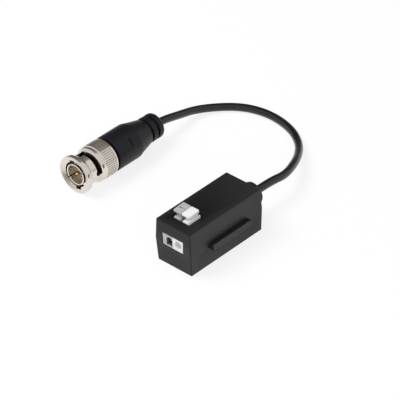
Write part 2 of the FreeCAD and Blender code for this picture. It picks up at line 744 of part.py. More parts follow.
def cam_slot(first_angle):
    """Cutter of one cam slot: a ramp round the neck that ends at the locking hole."""
    inner = value("nut_bore") - 1
    outer = value("nut_rim") + 1
    steps = 12
    sections = []
    for step in range(steps + 1):
        share = step / steps
        along = Rotation(Vector(0, 1, 0), first_angle + share * value("cam_sweep"))
        low = value("cam_start - cam_width / 2") + math.sin(share * math.pi / 2) * value("cam_rise")
        high = low + value("cam_width")
        corners = [along.multVec(Vector(radius, station, 0))
                   for radius, station in ((inner, low), (outer, low), (outer, high), (inner, high))]
        sections.append(Part.makePolygon(corners + corners[:1]))
    lock_turn = Rotation(Vector(0, 1, 0), first_angle + value("lock_sweep"))
    hole = Part.makeCylinder(value("lock_radius"), outer - inner, Vector(inner, 0, 0), Vector(1, 0, 0))
    hole.Placement = Placement(Vector(0, value("lock_station"), 0), lock_turn)
    return Part.makeLoft(sections, True, True).fuse(hole)


def coupling_nut():
    """Coupling nut with two entry channels, two cam slots and a groove for the snap ring."""
    outside = "2 * nut_rim"
    tools = []
    for turn in (0, 180):
        channel = bar("EntryChannel", "contact_outer", "entry_radius", "-nut_mouth_depth", "entry_end",
                      "-entry_width / 2", "entry_width / 2")
        window = bar("EntryWindow", "contact_outer", outside, "entry_window", "entry_end",
                     "-entry_width / 2", "entry_width / 2")
        for piece in (channel, window):
            piece.Placement.Rotation = Rotation(Vector(0, 1, 0), turn)
        channel_set = joined("Entry", [channel, window])
        tools.append(move(channel_set, turn=f"{turn} - entry_angle"))
        slot = document.addObject("Part::Feature", "CamSlot")
        slot.Shape = cam_slot(turn - value("entry_angle"))
        tools.append(slot)
    ring_start = f"(flange_end + wave_length + thrust_length + 3 * part_slack)"
    tools.append(turned("RingGroove", [("nut_chamber - ring_length", f"{ring_start} - part_slack"),
                                       ("ring_outer + part_slack", f"{ring_start} - part_slack"),
                                       ("ring_outer + part_slack", f"{ring_start} + ring_length + part_slack"),
                                       ("nut_chamber - ring_length", f"{ring_start} + ring_length + part_slack")]))
    return cut("CouplingNut", nut_blank(), joined("NutTools", tools))


def plug_shell():
    """Plug shell: slotted outer contact, flange, barrel and crimp stem."""
    blank = turned("ShellBlank", [
        ("contact_inner", "contact_front"), ("contact_outer", "contact_front"), ("contact_outer", "flange_start"),
        ("flange_radius", "flange_start"), ("flange_radius", "flange_end"), ("barrel_radius", "flange_end"),
        ("barrel_radius", "barrel_end"), ("stem_radius", "barrel_end"), ("stem_radius", "stem_end"),
        ("stem_bore", "stem_end"), ("stem_bore", "insulator_end + 2 * part_slack"),
        ("contact_inner", "insulator_end + 2 * part_slack")])
    reach = ("-2 * contact_outer", "2 * contact_outer")
    narrow = ("-contact_slot_width / 2", "contact_slot_width / 2")
    depth = ("0", "contact_front + contact_slot_length")
    slots = joined("ContactSlots", [bar("AcrossSlot", *reach, *depth, *narrow),
                                    bar("UprightSlot", *narrow, *depth, *reach)])
    return cut("PlugShell", blank, move(slots, turn="-contact_slot_angle"))


def ring(name, inner, outer, start, end):
    """Make a plain ring about the plug's axis between two stations."""
    return turned(name, [(inner, start), (outer, start), (outer, end), (inner, end)])


def wave_washer():
    """Wave washer: a thin ring bent into three waves, standing on the flange's rear face."""
    inner = value("washer_inner")
    outer = value("washer_outer")
    start = value("flange_end + part_slack")
    strip = value("spring_strip")
    swing = (value("wave_length") - strip) / 2
    steps = 24
    sections = []
    for step in range(steps):
        angle = 360 * step / steps
        along = Rotation(Vector(0, 1, 0), angle)
        low = start + swing * (1 - math.cos(math.radians(3 * angle)))
        corners = [along.multVec(Vector(radius, station, 0)) for radius, station in
                   ((inner, low), (outer, low), (outer, low + strip), (inner, low + strip))]
        sections.append(Part.makePolygon(corners + corners[:1]))
    first = Part.makeLoft(sections, True, True)
    last = Part.makeLoft([sections[-1], sections[0]], True, True)
    washer = document.addObject("Part::Feature", "WaveWasher")
    washer.Shape = first.fuse(last)
    return washer


def plug_boot():
    """Moulded boot: straight grip with two flats, taper, two ring grooves and a rounded end."""
    taper_end = "boot_length - boot_tail_length"
    ring_one = f"{taper_end} + boot_groove_length"
    ring_end = f"{ring_one} + boot_ring_length"
    flange = f"{ring_end} + boot_groove_length"
    round_start = "boot_length - boot_end_round"
    blank = turned("BootBlank", [
        ("barrel_radius + part_slack", "boot_front"), ("boot_radius - edge_round", "boot_front"),
        ("boot_radius", "boot_front + edge_round"), ("boot_radius", f"{taper_end} - boot_taper_length"),
        ("boot_tail", taper_end), ("boot_groove", taper_end), ("boot_groove", ring_one),
        ("boot_tail", ring_one), ("boot_tail", ring_end), ("boot_groove", ring_end), ("boot_groove", flange),
        ("boot_tail", flange), ("boot_tail", round_start),
        ("boot_tail - boot_end_round * 0.3", "boot_length - boot_end_round * 0.3"),
        ("boot_tail - boot_end_round", "boot_length"), ("0", "boot_length"), ("0", "stem_end + part_slack"),
        ("ferrule_outer + part_slack", "stem_end + part_slack"),
        ("ferrule_outer + part_slack", "barrel_end + part_slack"),
        ("barrel_radius + part_slack", "barrel_end + part_slack")])
    flats = []
    for turn in (0, 180):
        flat = new_body("GripFlat")
        pad(flat, "top", [("boot_radius", "grip_start"), ("boot_radius - grip_depth", "grip_end"),
                          ("boot_radius * 2", "grip_end"), ("boot_radius * 2", "grip_start")],
            "2 * boot_radius", shift="-boot_radius")
        flats.append(move(flat, turn=f"{turn} - grip_angle"))
    return cut("Boot", blank, joined("GripFlats", flats))


def label_all():
    """Build every piece and return each with its plain name."""
    pieces = {
        "lower_shell": lower_shell(),
        "upper_shell": upper_shell(),
        "circuit_board": circuit_board(),
        "grey_terminal": terminal_pole("GreyPole", f"{WINDOW[0]} + running_gap", "pole_split", "grey_stem_left",
                                       grey_entry()),
        "white_terminal": terminal_pole("WhitePole", "pole_split", f"{WINDOW[1]} - running_gap",
                                        "white_stem_left", white_entry(), [button_guard()]),
        "grey_button": push_button("GreyButton", "grey_head_left", "grey_stem_left", True),
        "white_button": push_button("WhiteButton", "white_head_left", "white_stem_left", False),
        "grey_clamp_spring": clamp_spring("GreySpring", "grey_stem_left"),
        "white_clamp_spring": clamp_spring("WhiteSpring", "white_stem_left"),
        "grey_contact_bar": contact_bar("GreyBar", "grey_stem_left"),
        "white_contact_bar": contact_bar("WhiteBar", "white_stem_left"),
        "choke_core": choke_core(),
        "choke_winding_left": choke_winding("WindingLeft", 114.0),
        "choke_winding_right": choke_winding("WindingRight", -66.0),
        "surge_arrester": surge_arrester(),
        "chip_capacitors": chip_parts(),
        "cable_gland": cable_gland(),
        "lead_jacket": lead_jacket(),
        "lead_core": inner_wire("CoreWire", "0", "core_wire_radius", "2 * core_wire_radius + 1"),
        "lead_screen": inner_wire("ScreenWire", "2 * core_wire_radius", "screen_wire_radius",
                                  "2 * core_wire_radius + 1"),
        "coupling_nut": at_plug(coupling_nut()),
        "plug_shell": at_plug(plug_shell()),
        "centre_pin": at_plug(turned("CentrePin", [
            ("0", "pin_front"), ("pin_radius / 2", "pin_front"), ("pin_radius", "pin_front + pin_radius"),
            ("pin_radius", "insulator_end"), ("0", "insulator_end")])),
        "pin_insulator": at_plug(ring("Insulator", "pin_radius + part_slack", "contact_inner - part_slack",
                                      "insulator_front", "insulator_end")),
        "face_gasket": at_plug(ring("Gasket", "contact_outer + part_slack", "gasket_outer",
                                    "flange_start - gasket_length", "flange_start")),
        "wave_washer": at_plug(wave_washer()),
        "thrust_washer": at_plug(ring("ThrustWasher", "washer_inner", "washer_outer",
                                      "flange_end + wave_length + 2 * part_slack",
                                      "flange_end + wave_length + thrust_length + 2 * part_slack")),
        "snap_ring": at_plug(ring("SnapRing", "washer_inner", "ring_outer",
                                  "flange_end + wave_length + thrust_length + 3 * part_slack",
                                  "flange_end + wave_length + thrust_length + ring_length + 3 * part_slack")),
        "lead_dielectric": at_plug(turned("Dielectric", [
            ("0", "insulator_end + part_slack"), ("stem_bore - part_slack", "insulator_end + part_slack"),
            ("stem_bore - part_slack", "stem_end"), ("0", "stem_end")])),
        "crimp_ferrule": at_plug(ring("Ferrule", "stem_radius + part_slack", "ferrule_outer", "ferrule_start",
                                      "stem_end")),
        "plug_boot": at_plug(plug_boot()),
    }
    for name, piece in pieces.items():
        piece.Label = name
    return pieces


def write(pieces):
    """Check every object and write each piece to its own file."""
    document.recompute()
    failed = [item.Name for item in document.Objects if {"Invalid", "Error"} & set(item.State)]
    failed += [name for name, piece in pieces.items() if piece.Shape.isNull() or not piece.Shape.isValid()]
    if failed:
        raise RuntimeError(f"not built: {failed}")
    os.makedirs("parts", exist_ok=True)
    for name, piece in pieces.items():
        print(f"{name}: {len(piece.Shape.Solids)} solid, {piece.Shape.Volume:.2f} cubic mm")
        piece.Shape.exportStep(f"parts/{name}.step")


write(label_all())
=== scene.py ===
import json
import logging
import math
from collections.abc import Callable, Sequence
from dataclasses import dataclass
from enum import Enum

import bpy
from mathutils import Matrix, Vector

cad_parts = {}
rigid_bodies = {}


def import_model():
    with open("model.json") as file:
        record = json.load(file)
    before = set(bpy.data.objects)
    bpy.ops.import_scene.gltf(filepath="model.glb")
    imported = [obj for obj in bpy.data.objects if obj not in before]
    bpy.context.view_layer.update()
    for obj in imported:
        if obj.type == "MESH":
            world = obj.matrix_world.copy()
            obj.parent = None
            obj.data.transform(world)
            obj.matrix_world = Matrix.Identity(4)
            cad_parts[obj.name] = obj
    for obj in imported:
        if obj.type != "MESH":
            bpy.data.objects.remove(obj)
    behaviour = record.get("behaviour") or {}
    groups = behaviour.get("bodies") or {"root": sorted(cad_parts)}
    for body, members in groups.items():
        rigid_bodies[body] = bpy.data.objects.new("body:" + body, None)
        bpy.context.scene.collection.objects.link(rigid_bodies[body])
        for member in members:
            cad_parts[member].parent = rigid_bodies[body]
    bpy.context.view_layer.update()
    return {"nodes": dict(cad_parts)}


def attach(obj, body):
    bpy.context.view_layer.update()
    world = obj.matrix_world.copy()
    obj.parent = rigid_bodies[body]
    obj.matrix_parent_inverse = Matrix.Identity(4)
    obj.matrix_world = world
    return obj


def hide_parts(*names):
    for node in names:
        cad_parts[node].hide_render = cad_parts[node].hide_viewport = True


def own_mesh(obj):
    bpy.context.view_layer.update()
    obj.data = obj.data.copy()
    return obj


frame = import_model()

MM = 0.001  # one millimetre, in the frame's metres
LOG = logging.getLogger("video_balun")
Point = tuple[float, float, float]
Piece = bpy.types.Object
Material = bpy.types.Material
Socket = bpy.types.NodeSocket
Ring = tuple[float, float]
Span = tuple[float, float]
QUARTER = [math.radians(15 * n) for n in range(7)]  # the steps of a rounded edge in a turned section
MIX_FIRST, MIX_SECOND, MIX_RESULT = 6, 7, 2  # a colour mix's sockets, whose names aren't unique


def linear(code: str) -> tuple[float, float, float, float]:
    """Turn an sRGB hex colour into a linear colour.

    Args:
        code: Six hex digits, such as "1d1d1f".

    Returns:
        Red, green, blue and an alpha of 1.
    """
    shares = [int(code[at:at + 2], 16) / 255 for at in (0, 2, 4)]
    red, green, blue = (s / 12.92 if s <= 0.04045 else ((s + 0.055) / 1.055) ** 2.4 for s in shares)
    return red, green, blue, 1.0


def grey(level: float) -> tuple[float, float, float, float]:
    """Return a linear grey."""
    return level, level, level, 1.0


def within(value: float, span: Span) -> bool:
    """Tell whether a value is between two others."""
    return span[0] < value < span[1]


def blank(name: str) -> Material:
    """Make a material with an empty node tree.

    Args:
        name: The material's name.

    Returns:
        The new material.
    """
    made = bpy.data.materials.new(name)
    made.use_nodes = True
    made.node_tree.nodes.clear()
    return made


def add(material: Material | bpy.types.World, kind: str, settings: dict | None = None,
        **links: Socket) -> bpy.types.Node:
    """Add a node with its settings and links.

    Args:
        material: The material or world whose tree gets the node.
        kind: The node's type, such as "ShaderNodeTexNoise".
        settings: Socket names to values, and property names to values.
        links: Input names, with spaces written as underscores, to the output sockets that feed them.

    Returns:
        The new node.
    """
    tree = material.node_tree
    node = tree.nodes.new(kind)
    for name, value in (settings or {}).items():
        if name in node.inputs:
            node.inputs[name].default_value = value
        else:
            setattr(node, name, value)
    for name, source in links.items():
        tree.links.new(source, node.inputs[name.replace("_", " ")])
    return node


def noise(material: Material, size_mm: float, detail: float, place: Socket) -> Socket:
    """Add a noise.

    Args:
        material: The material whose tree gets it.
        size_mm: The size of its cells, in millimetres.
        detail: How many finer octaves it has.
        place: The coordinates that it follows.

    Returns:
        Its value, from 0 to 1.
    """
    return add(material, "ShaderNodeTexNoise", {"Scale": 1 / (size_mm * MM), "Detail": detail},
               Vector=place).outputs["Fac"]


def shades(material: Material, share: Socket, first: str | Socket, second: str) -> Socket:
    """Mix two colours.

    Args:
        material: The material whose tree gets the mix.
        share: How much of the second colour shows.
        first: A hex colour or the output that gives the colour.
        second: A hex colour.

    Returns:
        The mixed colour.
    """
    mix = add(material, "ShaderNodeMix", {"data_type": "RGBA"}, Factor=share)
    if isinstance(first, str):
        mix.inputs[MIX_FIRST].default_value = linear(first)
    else:
        material.node_tree.links.new(first, mix.inputs[MIX_FIRST])
    mix.inputs[MIX_SECOND].default_value = linear(second)
    return mix.outputs[MIX_RESULT]


def shaded(material: Material, colour: Socket, gloss: Socket, marks: Socket, roughness: Span,
           relief: Ring, settings: dict) -> None:
    """Give a material its shader, with an uneven gloss and a small relief.

    Args:
        material: The material to finish.
        colour: Its colour.
        gloss: The value, from 0 to 1, that the roughness follows.
        marks: The height that the relief follows.
        roughness: The roughness where gloss is 0 and where it is 1.
        relief: The relief's strength and its height in millimetres.
        settings: The shader's other values.
    """
    rough = add(material, "ShaderNodeMapRange", {"To Min": roughness[0], "To Max": roughness[1]}, Value=gloss)
    strength, height_mm = relief
    bump = add(material, "ShaderNodeBump", {"Strength": strength, "Distance": height_mm * MM}, Height=marks)
    shader = add(material, "ShaderNodeBsdfPrincipled", settings, Base_Color=colour,
                 Roughness=rough.outputs["Result"], Normal=bump.outputs["Normal"])
    add(material, "ShaderNodeOutputMaterial", Surface=shader.outputs["BSDF"])


class Grain(Enum):
    """The patterns that a surface's small relief can have."""

    SPARK = "spark-eroded mould texture"
    SMOOTH = "polished mould"
    DRAWN = "extrusion lines along the piece"


@dataclass(frozen=True)
class Moulded:
    """A moulded or extruded polymer, or a fired ceramic: a dielectric with a slight mottle."""

    name: str
    colour: str
    mottle: str
    edge_tone_worn_and_lit: str
    roughness: tuple[float, float] = (0.45, 0.6)
    ior: float = 1.54
    mottle_mm: float = 5.0
    grain_mm: float = 0.35
    relief_mm: float = 0.012
    grain: Grain = Grain.SPARK
    edge_share_worn_and_lit: float = 0.5
    gloss: float = 0.5

    def material(self) -> Material:
        """Build the material, or find it when it is there already.

        Returns:
            The material.
        """
        found = bpy.data.materials.get(self.name)
        if found:
            return found
        made = blank(self.name)
        place = add(made, "ShaderNodeTexCoord").outputs["Object"]
        tint = shades(made, noise(made, self.mottle_mm, 3.0, place), self.colour, self.mottle)
        # edges that are sharp on the mesh get a paler colour: partly edge wear, partly a painted highlight where
        # the rounded edges catch the light
        edge = add(made, "ShaderNodeNewGeometry").outputs["Pointiness"]
        worn_and_lit_edges = add(made, "ShaderNodeMapRange", {"From Min": 0.52, "From Max": 0.62, "To Max": self.edge_share_worn_and_lit},
                     Value=edge)
        body = shades(made, worn_and_lit_edges.outputs["Result"], tint, self.edge_tone_worn_and_lit)
        stretch = (1.0, 0.08, 1.0) if self.grain is Grain.DRAWN else (1.0, 1.0, 1.0)
        turned = add(made, "ShaderNodeMapping", {"Scale": stretch}, Vector=place)
        fine = noise(made, self.grain_mm, 2.0, turned.outputs["Vector"])
        shaded(made, body, fine, fine, self.roughness, (0.6, self.relief_mm),
               {"IOR": self.ior, "Specular IOR Level": self.gloss})
        return made


@dataclass(frozen=True)
class Plated:
    """A metal or a plated metal: mirror-like, with turning marks and a slight haze."""

    name: str
    colour: str
    hazed: str
    roughness: tuple[float, float] = (0.12, 0.26)
    haze_mm: float = 3.0
    mark_mm: float = 0.12
    relief_mm: float = 0.002

    def material(self) -> Material:
        """Build the material, or find it when it is there already.

        Returns:
            The material.
        """
        found = bpy.data.materials.get(self.name)
        if found:
            return found
        made = blank(self.name)
        place = add(made, "ShaderNodeTexCoord").outputs["Object"]
        haze = noise(made, self.haze_mm, 4.0, place)
        tint = shades(made, haze, self.colour, self.hazed)
        around = add(made, "ShaderNodeMapping", {"Scale": (0.04, 1.0, 0.04)}, Vector=place)
        marks = noise(made, self.mark_mm, 2.0, around.outputs["Vector"])
        shaded(made, tint, haze, marks, self.roughness, (0.4, self.relief_mm), {"Metallic": 1.0})
        return made


# The finishes' names differ from those of the slots, because the frame has a plain material for each slot.
# ABS from a spark-eroded mould: matte, near black, paler along the edges, partly from wear and partly a painted
# highlight
HOUSING_ABS = Moulded("black_abs", "0f0f11", "141416", "3a3a3c", (0.36, 0.48), 1.54, 6.0, 0.3, 0.010,
                      gloss=0.24)
# nylon of the terminal's grey pole: satin
GREY_NYLON = Moulded("grey_nylon", "a0a0a1", "a8a8a9", "bdbdbd", (0.38, 0.5), 1.53, 3.0, 0.4, 0.004,
                     Grain.SMOOTH, 0.3)
# nylon of the terminal's white pole: satin
WHITE_NYLON = Moulded("white_nylon", "dadadd", "e0e0e2", "ededee", (0.36, 0.48), 1.53, 3.0, 0.4, 0.004,
                      Grain.SMOOTH, 0.3)
# painted shade: the white funnel's faces get a greyer nylon, for the shade inside the recess
FUNNEL_SHADE_NYLON = Moulded("funnel_painted_shade", "cacacc", "d0d0d2", "dadadc", (0.4, 0.52), 1.53, 3.0, 0.4, 0.004,
                     Grain.SMOOTH, 0.3)
# painted shade: the nylon inside the grey wire entry is coloured dark, where no light reaches
ENTRY_SHADE_NYLON = Moulded("entry_painted_shade", "5c5a5a", "666464", "706e6e", (0.5, 0.6), 1.53, 2.0, 0.3, 0.004,
                      Grain.SMOOTH, gloss=0.2)
# PVC over-moulding of the plug: satin black
BOOT_PVC = Moulded("boot_pvc", "0e0e12", "131318", "2a2a30", (0.36, 0.48), 1.53, 5.0, 0.35, 0.008, gloss=0.25)
# extruded PVC jacket: satin with faint lines along it
JACKET_PVC = Moulded("jacket_pvc", "09090a", "0d0d0e", "1c1c1d", (0.2, 0.3), 1.53, 8.0, 0.3, 0.003,
                     Grain.DRAWN, gloss=0.5)
# rubber of the strain relief: dull black
GLAND_RUBBER = Moulded("gland_rubber", "111112", "161617", "282829", (0.5, 0.65), 1.52, 4.0, 0.3, 0.010,
                       gloss=0.3)
# red-brown silicone of the plug's face seal
GASKET_SILICONE = Moulded("gasket_silicone", "5a1512", "6a1b16", "7a2a24", (0.5, 0.6), 1.45, 3.0, 0.3, 0.006)
# green solder mask on the glass-fibre board
SOLDER_MASK = Moulded("solder_mask", "17502c", "1d5a33", "4f7a55", (0.3, 0.4), 1.55, 4.0, 0.5, 0.006,
                      Grain.SMOOTH)
# green epoxy coat on the ferrite ring
FERRITE_COAT = Moulded("ferrite_coat", "2c5a3a", "35634a", "5a7a62", (0.4, 0.5), 1.55, 3.0, 0.4, 0.008)
# white glazed ceramic of the surge arrester
GLAZED_CERAMIC = Moulded("glazed_ceramic", "e6e2d8", "ddd8cc", "f0ede6", (0.15, 0.25), 1.6, 3.0, 0.6, 0.002,
                         Grain.SMOOTH)
# tan fired ceramic of the chip capacitors
FIRED_CERAMIC = Moulded("fired_ceramic", "a9865c", "9c7950", "c0a07a", (0.45, 0.6), 1.6, 1.0, 0.2, 0.004)
# white fluoropolymer of the plug's insulator and the lead's dielectric
FLUOROPOLYMER = Moulded("fluoropolymer", "ece9e4", "e4e1dc", "f5f3f0", (0.4, 0.5), 1.38, 2.0, 0.3, 0.004,
                        Grain.SMOOTH)
# bright nickel plating on brass: satin, slightly warm
NICKEL = Plated("bright_nickel", "e9e1d8", "dad1c8", (0.13, 0.25))
# painted shade: the nickel inside the nut and on the contact behind the slots is coloured a dull dark brown, for
# the shade in there
SHADED_NICKEL_PAINT = Plated("nickel_painted_shade", "52382d", "34201a", (0.35, 0.5))
# the contact's bore is plated thinner, so that the brass shows through it
THIN_NICKEL = Plated("thin_nickel", "ece4da", "e0d6ca", (0.24, 0.34))
# polishing doesn't reach the valleys of the knurl, so they are rougher; their darker colour is painted shade
KNURL_VALLEY_SHADE_NICKEL = Plated("knurl_valley_painted_shade", "c4bbb2", "b2a9a0", (0.38, 0.5))
# rolled spring steel of the washers, the snap ring and the clamp springs
SPRING_STEEL = Plated("spring_strip", "c4c3c2", "b8b7b6", (0.22, 0.36))
# tin plating on the contact bars
TIN = Plated("tin_plate", "d6d5d2", "c8c7c4", (0.3, 0.42))
# hard gold plating on the centre pin
GOLD = Plated("hard_gold", "dcc68c", "d0b97f", (0.18, 0.28))
# copper wire with its enamel, and the lead's bare copper
COPPER = Plated("enamelled_wire", "b8643a", "a85832", (0.2, 0.32))

DRESS = {
    HOUSING_ABS: ("lower_shell", "upper_shell"),
    GREY_NYLON: ("grey_terminal", "grey_button"),
    WHITE_NYLON: ("white_terminal", "white_button"),
    BOOT_PVC: ("plug_boot",),
    GLAND_RUBBER: ("cable_gland",),
    GASKET_SILICONE: ("face_gasket",),
    SOLDER_MASK: ("circuit_board",),
    FERRITE_COAT: ("choke_core",),
    GLAZED_CERAMIC: ("surge_arrester",),
    FIRED_CERAMIC: ("chip_capacitors",),
    FLUOROPOLYMER: ("pin_insulator", "lead_dielectric"),
    NICKEL: ("coupling_nut", "plug_shell", "crimp_ferrule"),
    SPRING_STEEL: ("thrust_washer", "snap_ring"),
    TIN: ("grey_contact_bar", "white_contact_bar"),
    GOLD: ("centre_pin",),
    COPPER: ("choke_winding_left", "choke_winding_right", "lead_core", "lead_screen"),
}


def dress_frame() -> None:
    """Give the CAD nodes their finishes; the springs' copies get theirs when they are made."""
    for finish, names in DRESS.items():
        for name in names:
            slots = frame["nodes"][name].data.materials
            slots.clear()
            slots.append(finish.material())


def clear() -> None:
    """Leave edit mode and deselect everything."""
    if bpy.context.object and bpy.context.object.mode != "OBJECT":
        bpy.ops.object.mode_set(mode="OBJECT")
    bpy.ops.object.select_all(action="DESELECT")


def hold(piece: Piece) -> None:
    """Make one piece the only selected and active one.

    Args:
        piece: The piece.
    """
    clear()
    piece.select_set(True)
    bpy.context.view_layer.objects.active = piece


def fresh(name: str) -> Piece:
    """Name the primitive that was just added and put its place into its mesh.

    Args:
        name: The piece's name.

    Returns:
        The piece.
    """
    piece = bpy.context.object
    piece.name = name
    hold(piece)
    bpy.ops.object.transform_apply(location=True, rotation=True, scale=True)
    return piece


def box(name: str, x: Span, y: Span, z: Span, rounding: float = 0.0) -> Piece:
    """Add a box.

    Args:
        name: The piece's name.
        x: Its lowest and highest x, in millimetres.
        y: The same along y.
        z: The same along z.
        rounding: The radius of its edges, in millimetres, or 0 for sharp ones.

    Returns:
        The box, with its place in its mesh.
    """
    clear()
    bpy.ops.mesh.primitive_cube_add(size=1, location=[(low + high) / 2 * MM for low, high in (x, y, z)])
    bpy.context.object.scale = [(high - low) * MM for low, high in (x, y, z)]
    piece = fresh(name)
    if rounding:
        soften(piece, rounding, 3, 40)
    return piece


def rod(name: str, radius: float, start: Point, end: Point, tip: float | None = None, sides: int = 32) -> Piece:
    """Add a cylinder or a cone between two points.

    Args:
        name: The piece's name.
        radius: The radius at the start, in millimetres.
        start: The centre of the first end, in millimetres.
        end: The centre of the other end, in millimetres.
        tip: The radius at the end, when it differs.
        sides: How many sides stand for the round.

    Returns:
        The cylinder, with its place in its mesh.
    """
    clear()
    first, last = Vector(start) * MM, Vector(end) * MM
    turn = (last - first).to_track_quat("Z", "Y").to_euler()
    tip = radius if tip is None else tip
    bpy.ops.mesh.primitive_cone_add(vertices=sides, radius1=radius * MM, radius2=tip * MM,
                                    depth=(last - first).length, location=(first + last) / 2, rotation=turn)
    return fresh(name)


def pick(piece: Piece, kind: str, test: Callable[..., bool]) -> None:
    """Select parts of a mesh by a test and stay in edit mode.

    Args:
        piece: The piece to work on.
        kind: "FACE" to test a face's centre and normal, or "VERT" to test a point's place, in millimetres.
        test: Returns True for what is selected.
    """
    hold(piece)
    bpy.ops.object.mode_set(mode="EDIT")
    bpy.ops.mesh.select_mode(type=kind)
    bpy.ops.mesh.select_all(action="DESELECT")
    bpy.ops.object.mode_set(mode="OBJECT")
    if kind == "FACE":
        for face in piece.data.polygons:
            face.select = test(face.center / MM, face.normal)
    else:
        for point in piece.data.vertices:
            point.select = test(point.co / MM)
    bpy.ops.object.mode_set(mode="EDIT")


def modify(piece: Piece, kind: str, **settings: object) -> None:
    """Add a modifier and apply it.

    Args:
        piece: The piece that it changes.
        kind: The modifier's type, such as "BEVEL".
        settings: Property names to values.
    """
    hold(piece)
    modifier = piece.modifiers.new(kind.lower(), kind)
    for name, value in settings.items():
        setattr(modifier, name, value)
    bpy.ops.object.modifier_apply(modifier=modifier.name)


def carve(piece: Piece, *tools: Piece) -> None:
    """Cut tools out of a piece and throw them away.

    Args:
        piece: The piece that is cut.
        tools: The solids that are taken out of it.
    """
    for tool in tools:
        modify(piece, "BOOLEAN", operation="DIFFERENCE", object=tool, solver="EXACT")
        bpy.data.objects.remove(tool)


def weld(piece: Piece, *others: Piece) -> None:
    """Unite other solids with a piece.

    Args:
        piece: The piece that stays.
        others: The solids that become part of it.
    """
    for other in others:
        modify(piece, "BOOLEAN", operation="UNION", object=other, solver="EXACT")
        bpy.data.objects.remove(other)


def soften(piece: Piece, width_mm: float, segments: int = 2, angle: float = 30.0) -> None:
    """Round the edges that are sharper than an angle, and shade the rest smoothly.

    Args:
        piece: The piece to work on.
        width_mm: The width of the rounding, in millimetres.
        segments: How many faces make up the rounding.
        angle: The angle, in degrees.
    """
    modify(piece, "BEVEL", width=width_mm * MM, segments=segments, limit_method="ANGLE",
           angle_limit=math.radians(angle), use_clamp_overlap=True, harden_normals=False)
    smooth(piece)


def smooth(piece: Piece, angle: float = 32.0) -> None:
    """Shade a piece smoothly, with creases at edges sharper than an angle."""
    hold(piece)
    bpy.ops.object.shade_smooth_by_angle(angle=math.radians(angle))


def line(piece: Piece, finish: Moulded | Plated, inside: Callable[[Vector], bool]) -> None:
    """Give some faces of a piece a second finish.

    Args:
        piece: The piece, with its first finish on.
        finish: The second finish.
        inside: Tells from a face's centre, in millimetres, whether the face gets it.
    """
    piece.data.materials.append(finish.material())
    last = len(piece.data.materials) - 1
    for face in piece.data.polygons:
        if inside(face.center / MM):
            face.material_index = last


def outward(piece: Piece) -> None:
    """Merge doubled points and turn the faces outwards.

    Args:
        piece: The piece to work on.
    """
    hold(piece)
    bpy.ops.object.mode_set(mode="EDIT")
    bpy.ops.mesh.select_all(action="SELECT")
    bpy.ops.mesh.remove_doubles(threshold=0.000002)
    bpy.ops.mesh.normals_make_consistent(inside=False)
    clear()


def present(piece: Piece, finish: Moulded | Plated, body: str, slot: str, *nodes: str) -> Piece:
    """Give a finished piece its material and its place in the part's table.

    Args:
        piece: The piece.
        finish: Its finish.
        body: The body that it rides on.
        slot: Not used.
        nodes: The CAD nodes that it stands for.

    Returns:
        The same piece.
    """
    clear()
    piece.data.materials.clear()
    piece.data.materials.append(finish.material())
    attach(piece, body)
    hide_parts(*nodes)
    LOG.info("%s: %d faces", piece.name, len(piece.data.polygons))
    return piece


@dataclass
class Axis:
    """The plug's axis, with its front plane: stations count backwards from that plane."""

    x: float = -57.17
    front: float = -8.4
    z: float = 7.3

    def spot(self, radius: float, angle: float, station: float) -> Point:
        """Return the place of a point by its radius, its angle from +X towards +Z, and its station."""
        turn = math.radians(angle)
        return self.x + radius * math.cos(turn), self.front + station, self.z + radius * math.sin(turn)

    def radius(self, at: Vector) -> float:
        """Return how far a place, in millimetres, is from the axis."""
        return math.hypot(at.x - self.x, at.z - self.z)

    def station(self, at: Vector) -> float:
        """Return how far a place, in millimetres, is behind the front plane."""
        return at.y - self.front

    def lathe(self, name: str, rings: Sequence[Ring], sides: int, closed: bool = True) -> Piece:
        """Turn a piece round the axis by extruding a circle from ring to ring.

        Args:
            name: The piece's name.
            rings: (radius, station) pairs.
            sides: How many sides stand for the round.
            closed: True where the last ring meets the first, False where both ends are flat discs.

        Returns:
            The turned piece.
        """
        clear()
        radius, station = rings[0]
        bpy.ops.mesh.primitive_circle_add(vertices=sides, radius=radius * MM,
                                          fill_type="NOTHING" if closed else "NGON",
                                          location=(self.x * MM, (self.front + station) * MM, self.z * MM),
                                          rotation=(math.pi / 2, 0, 0))
        piece = fresh(name)
        bpy.ops.object.mode_set(mode="EDIT")
        bpy.ops.mesh.select_mode(type="VERT")
        bpy.ops.mesh.select_all(action="SELECT")
        for wide, back in [*rings[1:], rings[0]] if closed else rings[1:]:
            bpy.ops.mesh.extrude_region_move(TRANSFORM_OT_translate={"value": (0, (back - station) * MM, 0)})
            bpy.ops.transform.resize(value=(wide / radius, 1, wide / radius),
                                     center_override=(self.x * MM, (self.front + back) * MM, self.z * MM))
            radius, station = wide, back
        clear()
        outward(piece)
        return piece

    def bar(self, name: str, angle: float, low: Point, high: Point) -> Piece:
        """Add a box whose x runs outwards at an angle, y along the stations and z across.

        Args:
            name: The piece's name.
            angle: The angle, in degrees from +X towards +Z.
            low: The lowest corner, in millimetres.
            high: The highest corner, in millimetres.

        Returns:
            The box.
        """
        clear()
        out, along = (low[0] + high[0]) / 2, (low[1] + high[1]) / 2
        bpy.ops.mesh.primitive_cube_add(size=1, location=[c * MM for c in self.spot(out, angle, along)],
                                        rotation=(0, -math.radians(angle), 0))
        bpy.context.object.scale = [(b - a) * MM for a, b in zip(low, high)]
        return fresh(name)


AXIS = Axis()


